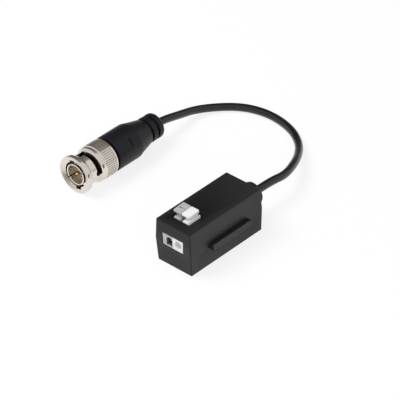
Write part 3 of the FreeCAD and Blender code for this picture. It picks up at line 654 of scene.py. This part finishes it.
@dataclass
class CouplingNut:
    """The bayonet coupling nut: flared rim, neck with two cam slots, shoulder and knurled grip.

    Radii, stations and widths are in millimetres, and angles in degrees.
    """

    rim: float = 7.3
    lip: float = 0.45
    flare_start: float = 1.45
    flare_length: float = 2.05
    neck: float = 5.9
    band: float = 6.85
    groove: float = 6.5
    grip: float = 6.95
    bore: float = 4.95
    chamber: float = 5.95
    chamber_start: float = 10.9
    length: float = 15.4
    knurls: int = 54
    knurl_depth: float = 0.2
    knurl_span: Span = (9.95, 14.6)
    knurl_above: float = 6.8
    valley: Span = (6.6, 6.83)
    entry_angle: float = 103.0
    entry_width: float = 2.5
    entry_depth: Span = (4.1, 5.7)
    entry_span: Span = (-0.7, 6.9)
    window_start: float = 3.6
    window_reach: float = 14.0
    cam_sweep: float = 101.0
    cam_steps: int = 24
    cam_start: float = 6.15
    cam_rise: float = 0.55
    cam_width: float = 2.0
    cam_middle: float = 6.5
    cam_depth: float = 5.0
    lock_station: float = 6.5
    lock_radius: float = 1.22
    lock_reach: Span = (4.0, 9.0)
    painted_shade_within: float = 5.3
    painted_shade_from: float = 2.6

    def profile(self) -> list[Ring]:
        """Work out the turned section, from the mouth round the outside to the spring chamber.

        Returns:
            Radius and station of each corner.
        """
        lip = [(self.rim - self.lip + self.lip * math.sin(a), self.lip - self.lip * math.cos(a)) for a in QUARTER]
        drop, steps = self.rim - self.neck, 9
        flare = [(self.neck + drop * (0.5 + 0.5 * math.cos(math.pi * n / steps)),
                  self.flare_start + self.flare_length * n / steps) for n in range(steps + 1)]
        shoulder = [(self.neck, 7.2), (self.neck + 0.25, 7.5), (self.band - 0.2, 7.9), (self.band, 8.3),
                    (self.band, 8.95), (self.groove, 9.05), (self.groove, 9.45), (self.grip - 0.12, 9.7),
                    (self.grip, 9.9)]
        tail = [(self.grip, 14.65), (self.grip, self.length - 0.3), (self.grip - 0.12, self.length - 0.08),
                (self.grip - 0.35, self.length), (self.chamber, self.length),
                (self.chamber, self.chamber_start), (self.bore, self.chamber_start)]
        return [(self.bore, 0.7), (6.75, 0.04), *lip, *flare, *shoulder, *tail]

    def build(self) -> Piece:
        """Turn the nut, press its knurl, cut its slots and soften its edges.

        Returns:
            The nut.
        """
        nut = AXIS.lathe("nut", self.profile(), 2 * self.knurls)
        self.knurl(nut)
        half = self.entry_width / 2
        (inner, outer), (mouth, stop) = self.entry_depth, self.entry_span
        for turn in (0, 180):
            start = self.entry_angle + turn
            end = start - self.cam_sweep
            carve(nut, AXIS.bar("channel", start, (inner, mouth, -half), (outer, stop, half)),
                  AXIS.bar("window", start, (inner, self.window_start, -half), (self.window_reach, stop, half)),
                  self.cam(start),
                  rod("lock", self.lock_radius, *(AXIS.spot(reach, end, self.lock_station)
                                                  for reach in self.lock_reach)))
        soften(nut, 0.08, 2, 40)
        modify(nut, "WEIGHTED_NORMAL", keep_sharp=True)
        present(nut, NICKEL, "nut", "nickel_plate", "coupling_nut")
        # painted shade on the nickel inside the nut
        line(nut, SHADED_NICKEL_PAINT,
             lambda at: AXIS.radius(at) < self.painted_shade_within and AXIS.station(at) > self.painted_shade_from)
        # painted shade: the knurl's valleys get a darker nickel
        line(nut, KNURL_VALLEY_SHADE_NICKEL, lambda at: within(AXIS.radius(at), self.valley)
             and within(AXIS.station(at), self.knurl_span))
        return nut

    def knurl(self, nut: Piece) -> None:
        """Sink every second face of the grip to leave straight ridges.

        Args:
            nut: The turned nut, with twice as many sides as ridges.
        """
        def sunk(centre: Vector, _normal: Vector) -> bool:
            """Tell whether a face of the grip is one that sinks."""
            angle = math.degrees(math.atan2(centre.z - AXIS.z, centre.x - AXIS.x)) % 360
            return (within(AXIS.station(centre), self.knurl_span) and AXIS.radius(centre) > self.knurl_above
                    and int(angle * self.knurls / 180) % 2 == 0)

        pick(nut, "FACE", sunk)
        bpy.ops.mesh.extrude_region_move(TRANSFORM_OT_translate={"value": (0, 0, 0)})
        share = 1 - self.knurl_depth / self.grip
        bpy.ops.transform.resize(value=(share, 1, share), center_override=(AXIS.x * MM, 0, AXIS.z * MM))
        clear()

    def cam(self, start: float) -> Piece:
        """Sweep the cutter of one cam slot round the neck, climbing towards the grip as it goes.

        Args:
            start: The angle where the slot leaves its entry.

        Returns:
            The cutter.
        """
        clear()
        middle = AXIS.spot(self.cam_middle, start, self.cam_start)
        bpy.ops.mesh.primitive_plane_add(size=1, location=[c * MM for c in middle],
                                         rotation=(0, -math.radians(start), 0))
        bpy.context.object.scale = (self.cam_depth * MM, self.cam_width * MM, 1)
        cutter = fresh("cam")
        bpy.ops.object.mode_set(mode="EDIT")
        bpy.ops.mesh.select_all(action="SELECT")
        steps = self.cam_steps
        for step in range(1, steps + 1):
            rise = self.cam_rise * (math.sin(step / steps * math.pi / 2)
                                    - math.sin((step - 1) / steps * math.pi / 2))
            bpy.ops.mesh.extrude_region_move(TRANSFORM_OT_translate={"value": (0, rise * MM, 0)})
            bpy.ops.transform.rotate(value=-math.radians(self.cam_sweep / steps), orient_axis="Y",
                                     center_override=(AXIS.x * MM, 0, AXIS.z * MM))
        clear()
        outward(cutter)
        return cutter


@dataclass
class Contacts:
    """The plug's inner parts: slotted outer contact, insulator and centre pin, in millimetres."""

    sleeve: float = 4.2
    inside: float = 3.6
    inside_end: float = 14.5
    flange: float = 5.75
    barrel: float = 4.5
    stem: float = 1.9
    stem_bore: float = 1.2
    slit_angle: float = -34.0
    slit_width: float = 0.4
    slit_end: float = 5.4
    slit_reach: float = 6.0
    pin_radius: float = 0.67
    pin_end: float = 14.4

    def build(self) -> list[Piece]:
        """Make the three pieces."""
        return [self.outer(), self.insulator(), self.pin()]

    def outer(self) -> Piece:
        """Turn the shell with its contact sleeve, flange, barrel and stem, and slit the sleeve in four.

        Returns:
            The shell.
        """
        shell = AXIS.lathe("outer_contact", [
            (self.inside, 0.55), (self.inside + 0.15, 0.42), (self.sleeve - 0.15, 0.42), (self.sleeve, 0.6),
            (self.sleeve, 1.4), (self.sleeve - 0.08, 1.8), (self.sleeve - 0.08, 10.2), (self.sleeve, 10.6),
            (self.sleeve, 11.0), (self.flange, 11.0), (self.flange, 12.3), (self.barrel, 12.3),
            (self.barrel, 17.0), (self.stem, 17.0), (self.stem, 25.0), (self.stem_bore, 25.0),
            (self.stem_bore, self.inside_end), (self.inside, self.inside_end)], 96)
        half, reach = self.slit_width / 2, self.slit_reach
        for angle in (self.slit_angle, self.slit_angle + 90):
            carve(shell, AXIS.bar("slit", -angle, (-reach, 0, -half), (reach, self.slit_end, half)))
        soften(shell, 0.05, 2, 40)
        present(shell, NICKEL, "balun", "nickel_plate", "plug_shell")
        # painted shade on the contact's outside behind the slots; the bore gets its thinner plating
        line(shell, SHADED_NICKEL_PAINT, lambda at: AXIS.radius(at) > 4.0 and AXIS.station(at) > 2.0)
        line(shell, THIN_NICKEL, lambda at: AXIS.radius(at) < 3.7 and AXIS.station(at) > 0.7)
        return shell

    def insulator(self) -> Piece:
        """Turn the white insulator with a raised ring round the pin.

        Returns:
            The insulator.
        """
        body = AXIS.lathe("insulator", [
            (0.72, 5.5), (1.5, 5.4), (1.6, 5.75), (3.3, 5.75), (3.4, 5.5), (3.54, 5.5), (3.54, self.pin_end),
            (0.72, self.pin_end)], 72)
        soften(body, 0.06, 2, 40)
        return present(body, FLUOROPOLYMER, "balun", "insulator_white", "pin_insulator")

    def pin(self) -> Piece:
        """Turn the centre pin with its rounded point.

        Returns:
            The pin.
        """
        nose = [(0.08, 0.9), (0.25, 0.93), (0.4, 1.05), (0.52, 1.3), (0.61, 1.7), (0.66, 2.3),
                (self.pin_radius, 3.0)]
        pin = AXIS.lathe("pin", [*nose, (self.pin_radius, self.pin_end)], 48, closed=False)
        smooth(pin, 40)
        return present(pin, GOLD, "balun", "gold_plate", "centre_pin")


@dataclass
class Boot:
    """The moulded boot: straight grip with two thumb rests, taper, ring grooves and a rounded end.

    Radii, stations and sizes are in millimetres, and angles in degrees.
    """

    radius: float = 6.85
    barrel_hole: float = 4.55
    stem_hole: float = 2.95
    tail: float = 4.85
    groove: float = 3.7
    ring_pitch: float = 3.0
    start: float = 16.4
    step: float = 17.05
    hole_end: float = 25.0
    taper_end: float = 34.8
    length: float = 41.5
    end_round: float = 1.3
    rest_angle: float = 40.0
    rest_size: Point = (3.0, 6.1, 12.0)
    rest_place: Ring = (7.9, 20.65)
    rest_sink: float = 0.45

    def profile(self) -> list[Ring]:
        """Work out the turned section, from the barrel's hole round the outside to the closed end.

        Returns:
            Radius and station of each corner.
        """
        hole = [(self.stem_hole, self.hole_end), (self.stem_hole, self.step), (self.barrel_hole, self.step),
                (self.barrel_hole, self.start)]
        grip = [(self.radius - 0.4, self.start), (self.radius - 0.12, self.start + 0.1),
                (self.radius, self.start + 0.4)]
        taper = [(self.radius, 27.0), (self.radius - 0.06, 27.7), (self.radius - 0.28, 28.5),
                 (self.radius - 0.62, 29.5), (self.tail + 0.1, self.taper_end - 0.15)]
        rings = [(wide, self.taper_end + (back + turn)) for turn in (0.0, self.ring_pitch) for wide, back in (
            (self.tail - 0.1, 0.0), (self.groove + 0.1, 0.05), (self.groove, 0.3), (self.groove, 0.85),
            (self.groove + 0.1, 1.05), (self.tail - 0.1, 1.1), (self.tail, 1.3), (self.tail, 2.8))][:-1]
        curve = self.end_round
        end = [(self.tail - curve + curve * math.cos(a), self.length - curve + curve * math.sin(a))
               for a in QUARTER]
        return [*hole, *grip, *taper, *rings, *end]

    def build(self) -> Piece:
        """Turn the boot and press a thumb rest into each side.

        Returns:
            The boot.
        """
        boot = AXIS.lathe("boot", self.profile(), 96, closed=False)
        for angle in (self.rest_angle, self.rest_angle + 180):
            carve(boot, self.rest(angle))
        soften(boot, 0.12, 3, 24)
        return present(boot, BOOT_PVC, "balun", "boot_black", "plug_boot")

    def rest(self, angle: float) -> Piece:
        """Make the cutter of a thumb rest: a flat that sinks towards a step at its rear.

        Args:
            angle: Where the rest is round the plug's axis.

        Returns:
            The cutter.
        """
        clear()
        bpy.ops.mesh.primitive_cube_add(size=1)
        bpy.context.object.scale = [size * MM for size in self.rest_size]
        bpy.context.object.location = (*(place * MM for place in self.rest_place), 0)
        cutter = fresh("rest")
        pick(cutter, "VERT", lambda at: at.x < 7 and at.y < 18)
        bpy.ops.transform.translate(value=(self.rest_sink * MM, 0, 0))
        clear()
        cutter.rotation_euler = (0, -math.radians(angle), 0)
        cutter.location = (AXIS.x * MM, AXIS.front * MM, AXIS.z * MM)
        hold(cutter)
        bpy.ops.object.transform_apply(location=True, rotation=True, scale=True)
        return cutter


@dataclass
class Pole:
    """One pole of the wire terminal: nose in the front window, block, ledge in the roof window and chamber.

    The spans are along y and z, in millimetres.
    """

    node: str
    finish: Moulded
    slot: str
    left: float
    right: float
    stem_left: float
    stem_width: float = 2.2
    block_y: Span = (-16.3, -6.0)
    block_z: Span = (5.2, 13.3)
    nose_y: Span = (-17.75, -16.2)
    nose_z: Span = (8.0, 12.8)
    ledge_rim: float = 0.35
    ledge_y: Span = (-13.35, -12.2)
    ledge_z: Span = (6.7, 17.7)
    chamber_play: float = 0.1
    chamber_y: Span = (-12.35, -8.05)
    chamber_z: Span = (6.7, 20.0)
    cut_front: float = -18.5
    cut_back: float = -12.2

    def body(self) -> Piece:
        """Join the block, the nose and the ledge, each with its edges rounded first.

        Returns:
            The solid pole.
        """
        sides = (self.left, self.right)
        block = box("block", sides, self.block_y, self.block_z, 0.1)
        nose = box("nose", sides, self.nose_y, self.nose_z, 0.12)
        ledge = box("ledge", self.stem_span(self.ledge_rim), self.ledge_y, self.ledge_z, 0.22)
        weld(block, nose, ledge)
        block.name = self.node.replace("_terminal", "_pole")
        return block

    def stem_span(self, more: float) -> Span:
        """Return where the button's stem is across the pole, with more room on each side."""
        return self.stem_left - more, self.stem_left + self.stem_width + more

    def hollow(self, pole: Piece) -> None:
        """Cut the chamber that the button's stem slides in."""
        carve(pole, box("chamber", self.stem_span(self.chamber_play), self.chamber_y, self.chamber_z))

    def finished(self, pole: Piece) -> Piece:
        """Shade the pole and hand it over."""
        smooth(pole, 25)
        return present(pole, self.finish, "balun", self.slot, self.node)


@dataclass
class GreyPole(Pole):
    """The grey pole, with an upright opening that has a round top."""

    middle: float = -1.85
    width: float = 2.7
    low: float = 8.8
    spring: float = 10.7
    space_side: float = 0.3
    space_below: float = 0.4
    space_front: float = -16.8
    space_top: float = 12.65
    entry_shade_from: float = -17.6

    def build(self) -> Piece:
        """Make the pole and cut its opening and the dark space behind the front plate.

        Returns:
            The pole.
        """
        pole = self.body()
        self.hollow(pole)
        half = self.width / 2
        opening = box("opening", (self.middle - half, self.middle + half), (self.cut_front, self.cut_back),
                      (self.low, self.spring))
        arch = rod("arch", half, (self.middle, self.cut_front, self.spring),
                   (self.middle, self.cut_back, self.spring), sides=48)
        space = box("space", (self.middle - half - self.space_side, self.middle + half),
                    (self.space_front, self.cut_back), (self.low - self.space_below, self.space_top))
        weld(opening, arch)
        carve(pole, opening, space)
        self.finished(pole)
        # painted shade on the faces inside the grey wire entry
        line(pole, ENTRY_SHADE_NYLON, lambda at: abs(at.x - self.middle) < half + 0.31
             and self.entry_shade_from < at.y < -12.0 and self.low - 0.5 < at.z < 12.7)
        return pole


@dataclass
class WhitePole(Pole):
    """The white pole, with a round funnel, and with a low guard beside its button."""

    middle: float = 2.25
    height: float = 10.6
    recess: float = 1.5
    funnel: float = 1.35
    hole: float = 0.6
    guard_x: Span = (3.15, 3.65)
    guard_y: Span = (-13.35, -7.7)
    guard_z: Span = (13.0, 18.5)

    def bore(self, name: str, radius: float, front: float, back: float, tip: float | None = None) -> Piece:
        """Make a round cutter along the wire's way.

        Args:
            name: The cutter's name.
            radius: Its radius at the front.
            front: Where it starts along y.
            back: Where it ends along y.
            tip: Its radius at the back, when it differs.

        Returns:
            The cutter.
        """
        return rod(name, radius, (self.middle, front, self.height), (self.middle, back, self.height), tip, 48)

    def build(self) -> Piece:
        """Make the pole, stand its guard on it and cut its funnel.

        Returns:
            The pole.
        """
        pole = self.body()
        weld(pole, box("guard", self.guard_x, self.guard_y, self.guard_z, 0.2))
        self.hollow(pole)
        carve(pole, self.bore("recess", self.recess, -17.9, -16.8, self.funnel),
              self.bore("funnel", self.funnel, -16.85, -16.4, self.hole),
              self.bore("hole", self.hole, -16.6, self.cut_back))
        self.finished(pole)
        # painted shade inside the white funnel
        line(pole, FUNNEL_SHADE_NYLON,
             lambda at: at.y > -17.7 and math.hypot(at.x - self.middle, at.z - self.height) < 1.52)
        return pole


@dataclass
class PushButton:
    """A push button: a thin sloping head with rounded corners on a stem that slides in its pole."""

    node: str
    finish: Moulded
    slot: str
    left: float
    stem_left: float
    grooved: bool = False
    width: float = 3.7
    front: float = -12.7
    back: float = -7.5
    top: float = 20.15
    thick: float = 1.1
    slope: float = 0.35
    corner: float = 0.5
    groove_side: float = 0.74
    groove_y: Span = (-10.62, -9.88)
    groove_depth: float = 0.8
    stem_width: float = 2.2
    stem_y: Span = (-12.25, -8.15)
    stem_foot: float = 12.0

    def build(self) -> Piece:
        """Make the head, slope it, round it, add the stem and press the tool groove into it.

        Returns:
            The button.
        """
        right = self.left + self.width
        head = box(self.node + "_head", (self.left, right), (self.front, self.back),
                   (self.top - self.thick, self.top))
        pick(head, "VERT", lambda at: at.y < self.front + 0.1 and at.z > self.top - 0.1)
        bpy.ops.transform.translate(value=(0, 0, -self.slope * MM))
        self.round_corners(head)
        soften(head, 0.2, 3, 40)
        if self.grooved:
            carve(head, box("groove", (self.left + self.groove_side, right + 1), self.groove_y,
                            (self.top - self.groove_depth, self.top + 1), 0.08))
        stem = box("stem", (self.stem_left, self.stem_left + self.stem_width), self.stem_y,
                   (self.stem_foot, self.top - self.thick / 2), 0.15)
        weld(head, stem)
        smooth(head, 25)
        return present(head, self.finish, self.node, self.slot, self.node)

    def round_corners(self, head: Piece) -> None:
        """Round the head's four upright edges.

        Args:
            head: The head, still a box.
        """
        hold(head)
        bpy.ops.object.mode_set(mode="EDIT")
        bpy.ops.mesh.select_mode(type="EDGE")
        bpy.ops.mesh.select_all(action="DESELECT")
        bpy.ops.object.mode_set(mode="OBJECT")
        points = head.data.vertices
        for edge in head.data.edges:
            run = points[edge.vertices[0]].co - points[edge.vertices[1]].co
            edge.select = abs(run.z) > 0.9 * run.length
        bpy.ops.object.mode_set(mode="EDIT")
        bpy.ops.mesh.bevel(offset=self.corner * MM, segments=4)
        clear()


@dataclass
class Gland:
    """The strain relief: flange inside the wall, neck in the notch, and a collar that tapers to the lead."""

    flange: float = 4.1
    neck: float = 3.2
    collar: float = 4.4
    axis_z: float = 9.4
    inside: float = 16.5
    wall: float = 18.03
    end: float = 22.9

    def build(self) -> Piece:
        """Turn the gland about the lead's axis.

        Returns:
            The gland.
        """
        rings = [(self.flange, self.inside - 1.0), (self.flange, self.inside), (self.neck, self.inside),
                 (self.neck, self.wall), (self.collar, self.wall), (self.collar, self.wall + 1.2),
                 (self.collar - 0.12, self.wall + 1.3), (self.collar - 0.12, self.wall + 1.6),
                 (self.collar, self.wall + 1.7), (self.collar - 0.05, self.end - 0.75),
                 (self.collar - 0.2, self.end - 0.35), (self.collar - 0.45, self.end - 0.1),
                 (self.collar - 0.8, self.end), (2.1, self.end), (1.9, self.end - 0.15), (1.55, self.end - 0.3)]
        gland = Axis(0.0, 0.0, self.axis_z).lathe("gland", rings, 64, closed=False)
        soften(gland, 0.08, 2, 40)
        return present(gland, GLAND_RUBBER, "balun", "gland_black", "cable_gland")


@dataclass
class HiddenSpring:
    """A spring inside the part: a copy of its CAD node."""

    node: str
    name: str
    joint: str
    axis: Point
    anchor_mm: Point
    length_mm: float
    travel_mm: float

    def build(self) -> Piece:
        """Copy the node and give the copy its finish.

        Returns:
            The spring.
        """
        hold(frame["nodes"][self.node])
        bpy.ops.object.duplicate()
        spring = bpy.context.object
        bpy.ops.object.parent_clear(type="CLEAR_KEEP_TRANSFORM")
        spring.name = self.name
        for key in list(spring.keys()):
            del spring[key]
        spring.data = spring.data.copy()
        present(spring, SPRING_STEEL, "balun", "spring_steel", self.node)
        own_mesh(spring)
        return spring


@dataclass
class Lead:
    """The coaxial lead between the housing and the plug."""

    diameter_mm: float = 3.0
    length_mm: float = 117.3
    route_mm: tuple[Point, ...] = (
        (0.0, 22.9, 9.4), (0.0, 31.4, 9.4), (0.1, 38.6, 8.1), (-4.1, 48.2, 6.0), (-8.8, 55.6, 3.7),
        (-14.4, 62.2, 2.0), (-21.4, 67.1, 1.55), (-29.8, 69.6, 1.55), (-38.3, 69.8, 1.55), (-46.4, 67.3, 1.55),
        (-52.9, 62.0, 1.6), (-57.7, 54.2, 2.4), (-57.15, 45.0, 5.1), (-57.17, 36.1, 7.3), (-57.17, 33.1, 7.3))

    def build(self) -> Piece:
        """Lay the jacket along its route as one open spline.

        Returns:
            The lead.
        """
        shape = bpy.data.curves.new("lead", "CURVE")
        shape.dimensions = "3D"
        run = shape.splines.new("NURBS")
        run.points.add(len(self.route_mm) - 1)
        for spot, (x, y, z) in zip(run.points, self.route_mm):
            spot.co = (x * MM, y * MM, z * MM, 1.0)
        run.order_u = 3
        run.use_endpoint_u = True
        run.resolution_u = 12
        shape.bevel_depth = self.diameter_mm / 2 * MM
        shape.bevel_resolution = 6
        shape.use_fill_caps = True
        lead = bpy.data.objects.new("lead", shape)
        bpy.context.scene.collection.objects.link(lead)
        shape.materials.append(JACKET_PVC.material())
        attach(lead, "balun")
        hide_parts("lead_jacket")
        return lead


@dataclass(frozen=True)
class Flag:
    """A dark card that only mirrors and glossy surfaces see, as photo studios use, or a painted reflection; sizes
    in metres.
    """

    name: str
    level: float
    size: tuple[float, float]
    place: Point
    turn: Point = (0.0, 0.0, 0.0)

    def build(self) -> None:
        """Hang the card."""
        dark = blank(self.name)
        cloth = add(dark, "ShaderNodeEmission", {"Color": grey(self.level), "Strength": 1.0})
        add(dark, "ShaderNodeOutputMaterial", Surface=cloth.outputs[0])
        clear()
        bpy.ops.mesh.primitive_plane_add(size=1, location=self.place, rotation=self.turn)
        card = bpy.context.object
        card.scale = (*self.size, 1.0)
        card.name = self.name
        card.data.materials.append(dark)
        card.visible_camera = False
        card.visible_diffuse = False
        card.visible_shadow = False


@dataclass(frozen=True)
class Lamp:
    """A soft square lamp that faces the object; places and sizes in metres, power in watts."""

    name: str
    place: Point
    size: float
    power: float

    def build(self) -> None:
        """Hang the lamp where mirrors don't see it."""
        light = bpy.data.lights.new(self.name, "AREA")
        light.shape = "SQUARE"
        light.size = self.size
        light.energy = self.power
        lamp = bpy.data.objects.new(self.name, light)
        bpy.context.scene.collection.objects.link(lamp)
        lamp.location = self.place
        lamp.visible_glossy = False
        lamp.rotation_mode = "QUATERNION"
        lamp.rotation_quaternion = Vector(self.place).to_track_quat("Z", "Y")


@dataclass
class Studio:
    """The floor, the light and the camera, none of them part of the object."""

    floor_size: float = 6.0
    floor_height: float = -0.00002
    paper: float = 0.86
    glow_share: float = 0.82
    dim: float = 0.55
    flags: tuple[Flag, ...] = (
        Flag("back_flag", 0.15, (2.3, 1.7), (-0.85, 0.85, 0.86), (math.pi / 2, 0.0, math.pi / 4)),
        Flag("overhead_flag", 0.25, (4.0, 3.2), (-1.9, 1.3, 1.75)),
        # painted reflection: a small dark card on the floor in front of the plug, seen only by glossy rays,
        # darkens the lower left of the plug's mouth
        Flag("mouth_dark_reflection_card", 0.03, (0.012, 0.008), (-0.064, -0.0238, 0.0002)))
    lamps: tuple[Lamp, ...] = (
        Lamp("key_lamp", (-0.35, -0.25, 0.75), 0.5, 6.0), Lamp("fill_lamp", (0.6, -0.4, 0.4), 0.5, 2.0))
    azimuth: float = 44.829
    elevation: float = 35.896
    roll: float = -2.78
    distance_mm: float = 1025.552
    across_mm: float = -3.810
    up_mm: float = 7.983
    target_mm: Point = (-0.005, 0.919, 8.333)
    lens_mm: float = 270.0
    sensor_mm: float = 36.0
    near: float = 0.05
    far: float = 20.0

    def build(self) -> None:
        """Make the whole stage."""
        self.lay_floor()
        self.light_world()
        for item in (*self.flags, *self.lamps):
            item.build()
        self.camera()

    def lay_floor(self) -> None:
        """Lay the pale floor, which glows a little where the camera and mirrors see it."""
        bpy.ops.mesh.primitive_plane_add(size=self.floor_size, location=(0, 0, self.floor_height))
        floor = bpy.context.object
        floor.name = "floor"
        white = blank("white_paper")
        link = white.node_tree.links.new
        paper = add(white, "ShaderNodeBsdfDiffuse", {"Color": grey(self.paper)})
        glow = add(white, "ShaderNodeEmission", {"Color": grey(1.0), "Strength": 1.0})
        ray = add(white, "ShaderNodeLightPath")
        seen = add(white, "ShaderNodeMath", {"operation": "MAXIMUM"})
        link(ray.outputs["Is Camera Ray"], seen.inputs[0])
        link(ray.outputs["Is Glossy Ray"], seen.inputs[1])
        share = add(white, "ShaderNodeMath", {"operation": "MULTIPLY"})
        link(seen.outputs[0], share.inputs[0])
        share.inputs[1].default_value = self.glow_share
        mixed = add(white, "ShaderNodeMixShader", None, Fac=share.outputs[0])
        link(paper.outputs[0], mixed.inputs[1])
        link(glow.outputs[0], mixed.inputs[2])
        add(white, "ShaderNodeOutputMaterial", Surface=mixed.outputs[0])
        floor.data.materials.append(white)

    def light_world(self) -> None:
        """Make the world white where the camera and mirrors see it, and dimmer as a light."""
        world = bpy.data.worlds.new("studio")
        bpy.context.scene.world = world
        world.use_nodes = True
        world.node_tree.nodes.clear()
        path = add(world, "ShaderNodeLightPath")
        either = add(world, "ShaderNodeMath", {"operation": "MAXIMUM"})
        world.node_tree.links.new(path.outputs["Is Camera Ray"], either.inputs[0])
        world.node_tree.links.new(path.outputs["Is Glossy Ray"], either.inputs[1])
        level = add(world, "ShaderNodeMapRange", {"To Min": self.dim, "To Max": 1.0}, Value=either.outputs[0])
        sky = add(world, "ShaderNodeBackground", None, Strength=level.outputs["Result"])
        add(world, "ShaderNodeOutputWorld", None, Surface=sky.outputs["Background"])

    def camera(self) -> None:
        """Place the camera where the photograph was taken."""
        turn, rise, tilt = (math.radians(angle) for angle in (self.azimuth, self.elevation, self.roll))
        right = Vector((math.cos(turn), math.sin(turn), 0))
        back = Vector((math.sin(turn) * math.cos(rise), -math.cos(turn) * math.cos(rise), math.sin(rise)))
        up = back.cross(right)
        level = math.cos(tilt) * right + math.sin(tilt) * up
        plumb = -math.sin(tilt) * right + math.cos(tilt) * up
        place = (Vector(self.target_mm) + self.across_mm * level + self.up_mm * plumb
                 + self.distance_mm * back) * MM
        lens = bpy.data.cameras.new("camera")
        lens.lens = self.lens_mm
        lens.sensor_width = self.sensor_mm
        lens.clip_start = self.near
        lens.clip_end = self.far
        eye = bpy.data.objects.new("camera", lens)
        bpy.context.scene.collection.objects.link(eye)
        eye.matrix_world = Matrix((
            (level.x, plumb.x, back.x, place.x), (level.y, plumb.y, back.y, place.y),
            (level.z, plumb.z, back.z, place.z), (0, 0, 0, 1)))
        bpy.context.scene.camera = eye


def main() -> None:
    """Build the pieces in order, then the stage."""
    logging.basicConfig(level=logging.INFO, format="%(name)s: %(message)s")
    dress_frame()
    LOG.info("frame dressed")
    lead = Lead()
    jacket = lead.build()
    wave = HiddenSpring("wave_washer", "wave_spring", "nut_pull", (0, 1, 0), (0, 3.95, 0), 1.2, 0.8).build()
    on_lead = [CouplingNut().build(), *Contacts().build(), Boot().build(), wave]
    Gland().build()
    GreyPole("grey_terminal", GREY_NYLON, "terminal_grey", -4.95, -0.3, -3.2).build()
    WhitePole("white_terminal", WHITE_NYLON, "terminal_white", -0.3, 4.55, 0.85).build()
    PushButton("grey_button", GREY_NYLON, "terminal_grey", -4.4, -3.2, grooved=True).build()
    PushButton("white_button", WHITE_NYLON, "terminal_white", -0.6, 0.85).build()
    for pole in ("grey", "white"):
        HiddenSpring(f"{pole}_clamp_spring", f"{pole}_spring", f"{pole}_button_press", (0, 0, 1),
                     (0, 0, 7.0), 4.9, 1.0).build()
    LOG.info("lead laid")
    Studio().build()
    bpy.context.scene.view_settings.view_transform = "Standard"


if __name__ == "__main__":
    main()
